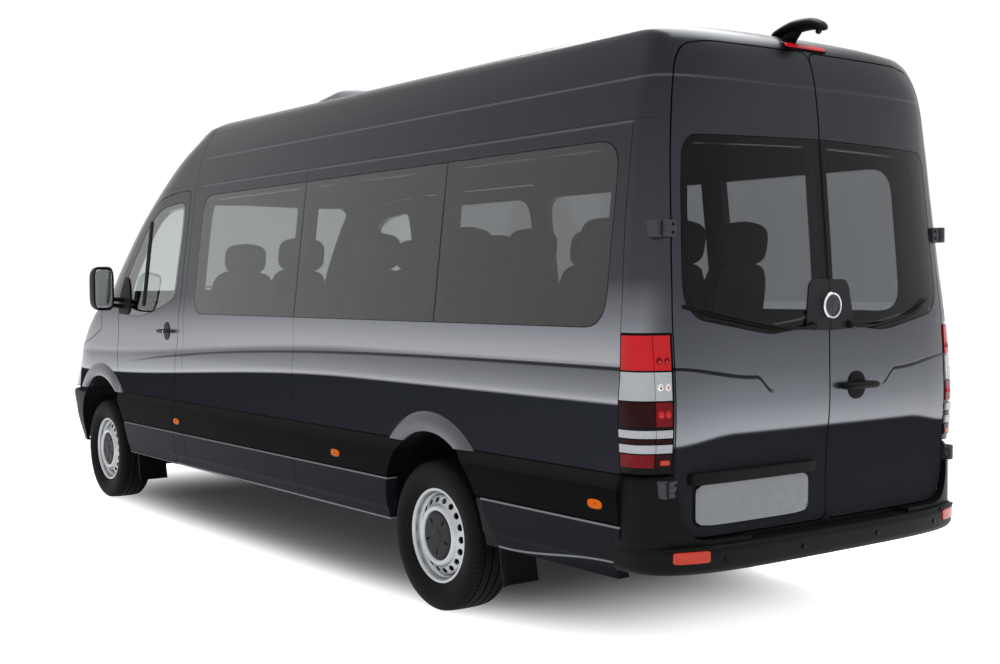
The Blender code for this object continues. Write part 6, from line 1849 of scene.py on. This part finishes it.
@dataclass
class Seats:
    """Two cab seats and four rows of three, each with cushion, back, head restraint, shell and legs."""

    floor_z: float = 0.700
    rows: tuple = (0.300, -0.550, -1.400, -2.450)
    places: tuple = (0.668, 0.260, -0.148)
    lean: float = 0.175

    def build(self) -> None:
        """Makes one of each pad and copies it to every seat."""
        base = Cushion((0.220, 0.190, 0.058), 3.4).make("seat_cushion")
        back = Cushion((0.058, 0.200, 0.300), 3.6).make("seat_back")
        head = Cushion((0.048, 0.145, 0.098), 3.4, cap=0.008).make("seat_head")
        seats = [(x, y, f"row_{k + 1}_{j + 1}", 0.94) for k, x in enumerate(self.rows)
                 for j, y in enumerate(self.places)]
        seats += [(1.520, 0.440, "driver", 1.18), (1.520, -0.440, "passenger", 1.18)]
        for x, y, name, wide in seats:
            self.seat(x, y, name, wide, (base, back, head))
        for pad in (base, back, head):
            bpy.data.objects.remove(pad, do_unlink=True)
        for k, x in enumerate(self.rows):
            self.bench_frame(k, x)
        for name, y in (("driver", 0.440), ("passenger", -0.440)):
            stand = self.loft_box((1.53, y, self.floor_z + 0.155), (0.185, 0.195, 0.150), 6.0)
            piece(stand, f"{name}_seat_stand", TRIM, "body", f"{name}_seat")

    def seat(self, x: float, y: float, name: str, wide: float, pads: tuple) -> None:
        """Copies the three pads to one seat and adds the shell and the restraint's two rods."""
        turn = Matrix.Rotation(-self.lean, 4, "Y")
        for pad, part, place, about in zip(pads, ("cushion", "back", "head_restraint"),
                                           ((x - 0.005, y, self.floor_z + 0.372), (x - 0.225, y, self.floor_z + 0.655),
                                            (x - 0.322, y, self.floor_z + 1.018)),
                                           (Matrix.Rotation(-0.06, 4, "Y"), turn, turn)):
            copy = twin(pad)
            spread = wide if part != "head_restraint" else 1.0
            copy.data.transform(Matrix.Translation(place) @ about @ Matrix.Diagonal((1, spread, 1, 1)))
            piece(copy, f"seat_{part}_{name}", CLOTH, "body", fill=0.7)
        shell = self.loft_box((0, 0, 0), (0.016, 0.178 * wide, 0.290), 5.0)
        shell.data.transform(Matrix.Translation((x - 0.275, y, self.floor_z + 0.640)) @ turn)
        piece(shell, f"seat_shell_{name}", TRIM)
        for j in (-1, 1):
            rod = tube("rod", [(x - 0.283, y + j * 0.055, self.floor_z + 0.90),
                               (x - 0.302, y + j * 0.055, self.floor_z + 1.00)], 0.007, 10)
            piece(rod, f"seat_rod_{name}_{'ab'[j > 0]}", CHROME)

    def bench_frame(self, k: int, x: float) -> None:
        """A crossbar under a row, on two folded legs that stand on the floor rails."""
        pan = self.loft_box((x - 0.010, 0.260, self.floor_z + 0.290), (0.205, 0.590, 0.028), 8.0)
        piece(pan, f"bench_pan_{k + 1}", TRIM, "body", *(("bench_seats",) if k == 0 else ()))
        for j, y in enumerate((-0.045, 0.525)):
            leg = prism(fillet([(x - 0.200, self.floor_z + 0.003), (x - 0.150, self.floor_z + 0.003),
                                (x - 0.060, self.floor_z + 0.120), (x + 0.080, self.floor_z + 0.120),
                                (x + 0.110, self.floor_z + 0.003), (x + 0.160, self.floor_z + 0.003),
                                (x + 0.120, self.floor_z + 0.270), (x - 0.160, self.floor_z + 0.270)], 0.03, 5),
                        "y", y - 0.018, y + 0.018)
            smooth(leg, 40)
            piece(leg, f"bench_leg_{k + 1}{'ab'[j]}", IRON)

    @staticmethod
    def loft_box(centre: tuple, half: tuple, square: float) -> bpy.types.Object:
        """A rounded block: a superellipsoid with flat-looking sides."""
        thing = capped("block", superellipsoid(half, square, 19, 40) + np.array(centre))
        smooth(thing, 50)
        return thing


@dataclass
class Cab:
    """The steering wheel and the finishes of the frame's own parts."""

    nodes: dict
    centre: tuple = (1.800, 0.440, 1.330)
    tilt: float = math.radians(50)

    def build(self) -> None:
        """A padded rim, three spokes and a plain boss, square to the column."""
        turn = Matrix.Translation(self.centre) @ Matrix.Rotation(self.tilt - math.pi / 2, 4, "Y")
        t = np.linspace(0, math.tau, 72, endpoint=False)
        rim = tube("rim", np.stack((0.219 * np.cos(t), 0.219 * np.sin(t), 0 * t), axis=-1), 0.0135, 14, 1.0,
                   (0, 0, 1), loop=True)
        rim.data.transform(turn)
        piece(rim, "steering_wheel_rim", TRIM, "steering_wheel", "steering_wheel")
        for k, a in enumerate((0.10, math.pi - 0.10, -math.pi / 2)):
            path = [(r * math.sin(a), r * math.cos(a), z)
                    for r, z in ((0.050, -0.024), (0.13, -0.018), (0.212, -0.004))]
            spoke = tube("spoke", curve_through(path, 12), np.linspace(0.030, 0.015, 12), 12, 0.35)
            spoke.data.transform(turn)
            piece(spoke, f"steering_wheel_spoke_{k + 1}", TRIM, "steering_wheel")
        boss = Seats.loft_box((0, 0, -0.012), (0.070, 0.080, 0.023), 3.5)
        boss.data.transform(turn)
        piece(boss, "steering_wheel_boss", TRIM, "steering_wheel")
        finishes = {"dashboard": TRIM, "floor_and_frame": IRON, "front_suspension": IRON, "rear_axle": IRON,
                    "steering_knuckle_left": IRON, "steering_knuckle_right": IRON, "engine_and_gearbox": IRON,
                    "fuel_tank": SEAL, "exhaust": EXHAUST}
        for name, finish in finishes.items():
            for place in self.nodes[name].material_slots:
                place.material = finish.make()


# ------------------------------------------------------------------ camera, light and floor
@dataclass
class Studio:
    """A pale floor, a pale soft surround and two large soft lamps, with the camera behind the left rear corner."""

    place: tuple = (-7.0734, 4.4301, 1.5457)
    yaw: float = -0.6368
    pitch: float = -0.0367
    roll: float = -0.0074
    lens: float = 48.04

    def build(self) -> None:
        """Makes the camera, the surround, the lamps and the floor."""
        self.camera()
        self.surround()
        self.lamps()
        self.floor()

    def camera(self) -> None:
        """The camera looks along yaw and pitch, and is turned a little by roll."""
        ahead = Vector((math.cos(self.yaw) * math.cos(self.pitch), math.sin(self.yaw) * math.cos(self.pitch),
                        math.sin(self.pitch)))
        right = ahead.cross(Vector((0, 0, 1))).normalized()
        up = right.cross(ahead)
        c, s = math.cos(self.roll), math.sin(self.roll)
        x, y = right * c + up * s, up * c - right * s
        data = bpy.data.cameras.new("camera")
        data.sensor_width, data.lens, data.sensor_fit = 36.0, self.lens, "HORIZONTAL"
        data.clip_end = 300.0
        thing = bpy.data.objects.new("camera", data)
        bpy.context.scene.collection.objects.link(thing)
        thing.matrix_world = Matrix.Translation(self.place) @ Matrix((x, y, -ahead)).transposed().to_4x4()
        bpy.context.scene.camera = thing

    @staticmethod
    def looking(tree: bpy.types.NodeTree) -> bpy.types.NodeSocket:
        """1 for rays that look: from the camera, off gloss and through glass."""
        path = node(tree, "ShaderNodeLightPath").outputs
        both = node(tree, "ShaderNodeMath", {0: path["Is Camera Ray"], 1: path["Is Transmission Ray"]},
                    operation="MAXIMUM").outputs[0]
        return node(tree, "ShaderNodeMath", {0: both, 1: path["Is Glossy Ray"]}, operation="MAXIMUM").outputs[0]

    def surround(self) -> None:
        """White behind the van; brightest near the horizon, as a hall with pale walls is."""
        world = bpy.data.worlds.new("surround")
        bpy.context.scene.world = world
        world.use_nodes = True
        tree = world.node_tree
        tree.nodes.clear()
        up = node(tree, "ShaderNodeSeparateXYZ", {"Vector": node(tree, "ShaderNodeTexCoord").outputs["Generated"]})
        ramp = node(tree, "ShaderNodeValToRGB", {"Fac": up.outputs["Z"]})
        stops = ((0.0, "#f4f4f6"), (0.07, "#f0f1f4"), (0.16, "#9a9da3"), (0.45, "#8f9298"), (1.0, "#d0d2d6"))
        band = ramp.color_ramp.elements
        band[0].position, band[1].position = stops[0][0], stops[-1][0]
        band[0].color, band[1].color = linear(stops[0][1]), linear(stops[-1][1])
        for spot, colour in stops[1:-1]:
            band.new(spot).color = linear(colour)
        hall = node(tree, "ShaderNodeBackground", {"Color": ramp.outputs["Color"], "Strength": 1.0})
        white = node(tree, "ShaderNodeBackground", {"Color": (1, 1, 1, 1), "Strength": 1.0})
        seen = self.looking(tree)
        mix = node(tree, "ShaderNodeMixShader", {0: seen, 1: hall.outputs[0], 2: white.outputs[0]})
        node(tree, "ShaderNodeOutputWorld", {"Surface": mix.outputs[0]})

    def lamps(self) -> None:
        """Two large soft lamps: one high at the left rear, one high in front."""
        for name, spot, aim, power, size in (("top_lamp", (-0.5, -2.2, 6.5), (-0.2, 0.2, 0.0), 520, (8.0, 3.5)),
                                             ("left_lamp", (-6.0, 7.0, 4.5), (-1.0, 0, 1.2), 150, (6.0, 4.0))):
            data = bpy.data.lights.new(name, "AREA")
            data.shape, data.size, data.size_y, data.energy = "RECTANGLE", *size, power
            thing = bpy.data.objects.new(name, data)
            bpy.context.scene.collection.objects.link(thing)
            thing.location = spot
            thing.visible_glossy = name == "top_lamp"
            thing.rotation_euler = (Vector(aim) - Vector(spot)).to_track_quat("-Z", "Y").to_euler()

    def floor(self) -> None:
        """A pale floor that keeps the van's real shadow, with painted shade round the van: it glows as x^4 + y^4,
        scaled to the van, grows, and barely glows close to it.
        """
        r = np.geomspace(0.5, 90.0, 40)[:, None]
        t = np.linspace(0, math.tau, 96, endpoint=False)
        verts = np.stack(np.broadcast_arrays(r * np.cos(t), r * np.sin(t), np.full_like(t, -0.0005)), axis=-1)
        verts = np.vstack((verts.reshape(-1, 3), [[0, 0, -0.0005]]))
        k = np.arange(96)
        fan = np.stack((np.full(96, 40 * 96), k, (k + 1) % 96), axis=1)
        faces = grid_faces(40, 96, wrap_cols=True).tolist() + fan.tolist()
        thing = to_object("floor", verts, faces)
        made = bpy.data.materials.new("pale_painted_floor")
        made.use_nodes = True
        tree = made.node_tree
        tree.nodes.clear()
        where = node(tree, "ShaderNodeTexCoord").outputs["Object"]
        near = node(tree, "ShaderNodeMapping", {"Vector": where, "Location": (-0.10, 0.02, 0.0),
                                                "Scale": (1 / 3.05, 1 / 1.00, 1.0)}).outputs[0]
        squares = node(tree, "ShaderNodeVectorMath", {0: near, 1: near}, operation="MULTIPLY").outputs[0]
        away = node(tree, "ShaderNodeVectorMath", {0: squares, 1: squares}, operation="DOT_PRODUCT").outputs["Value"]
        # Painted shade: the glow falls almost to nothing near the van, so the floor there shows darker than further
        # out, along with the real shadow.
        glow = node(tree, "ShaderNodeMapRange", {"Value": away, "From Min": 0.10, "From Max": 1.35,
                                                 "To Min": 0.01, "To Max": 0.95}, interpolation_type="SMOOTHSTEP")
        base = node(tree, "ShaderNodeBsdfDiffuse", {"Color": linear("#e4e4e4")})
        light = node(tree, "ShaderNodeEmission", {"Color": (1, 1, 1, 1), "Strength": glow.outputs[0]})
        both = node(tree, "ShaderNodeAddShader", {0: base.outputs[0], 1: light.outputs[0]})
        mix = node(tree, "ShaderNodeMixShader", {0: self.looking(tree), 1: base.outputs[0], 2: both.outputs[0]})
        node(tree, "ShaderNodeOutputMaterial", {"Surface": mix.outputs[0]})
        thing.data.materials.append(made)


def main() -> None:
    """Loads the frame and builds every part."""
    logging.basicConfig(level=logging.INFO, format="%(message)s")
    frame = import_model()
    scene = bpy.context.scene
    scene.view_settings.view_transform = "Standard"
    Studio().build()
    Body().build()
    RearBumper().build()
    RoofFittings().build()
    TailTrim().build()
    NoseTrim().build()
    for side in Side:
        TailLamp(side).build()
        Arch(REAR_AXLE_X, REAR_ARCH, side).build(f"wheel_flare_rear_{side.label}")
        Arch(FRONT_AXLE_X, FRONT_ARCH, side, front=DOOR_FRONT_X + DOOR_GAP / 2).build(f"wheel_flare_front_{side.label}")
        for end, x in (("front", FRONT_AXLE_X), ("rear", REAR_AXLE_X)):
            Wheel(x, side, end).build()
        Mirror(side).build()
        SideTrim(side).build()
    Seats().build()
    Cab(frame["nodes"]).build()


if __name__ == "__main__":
    main()
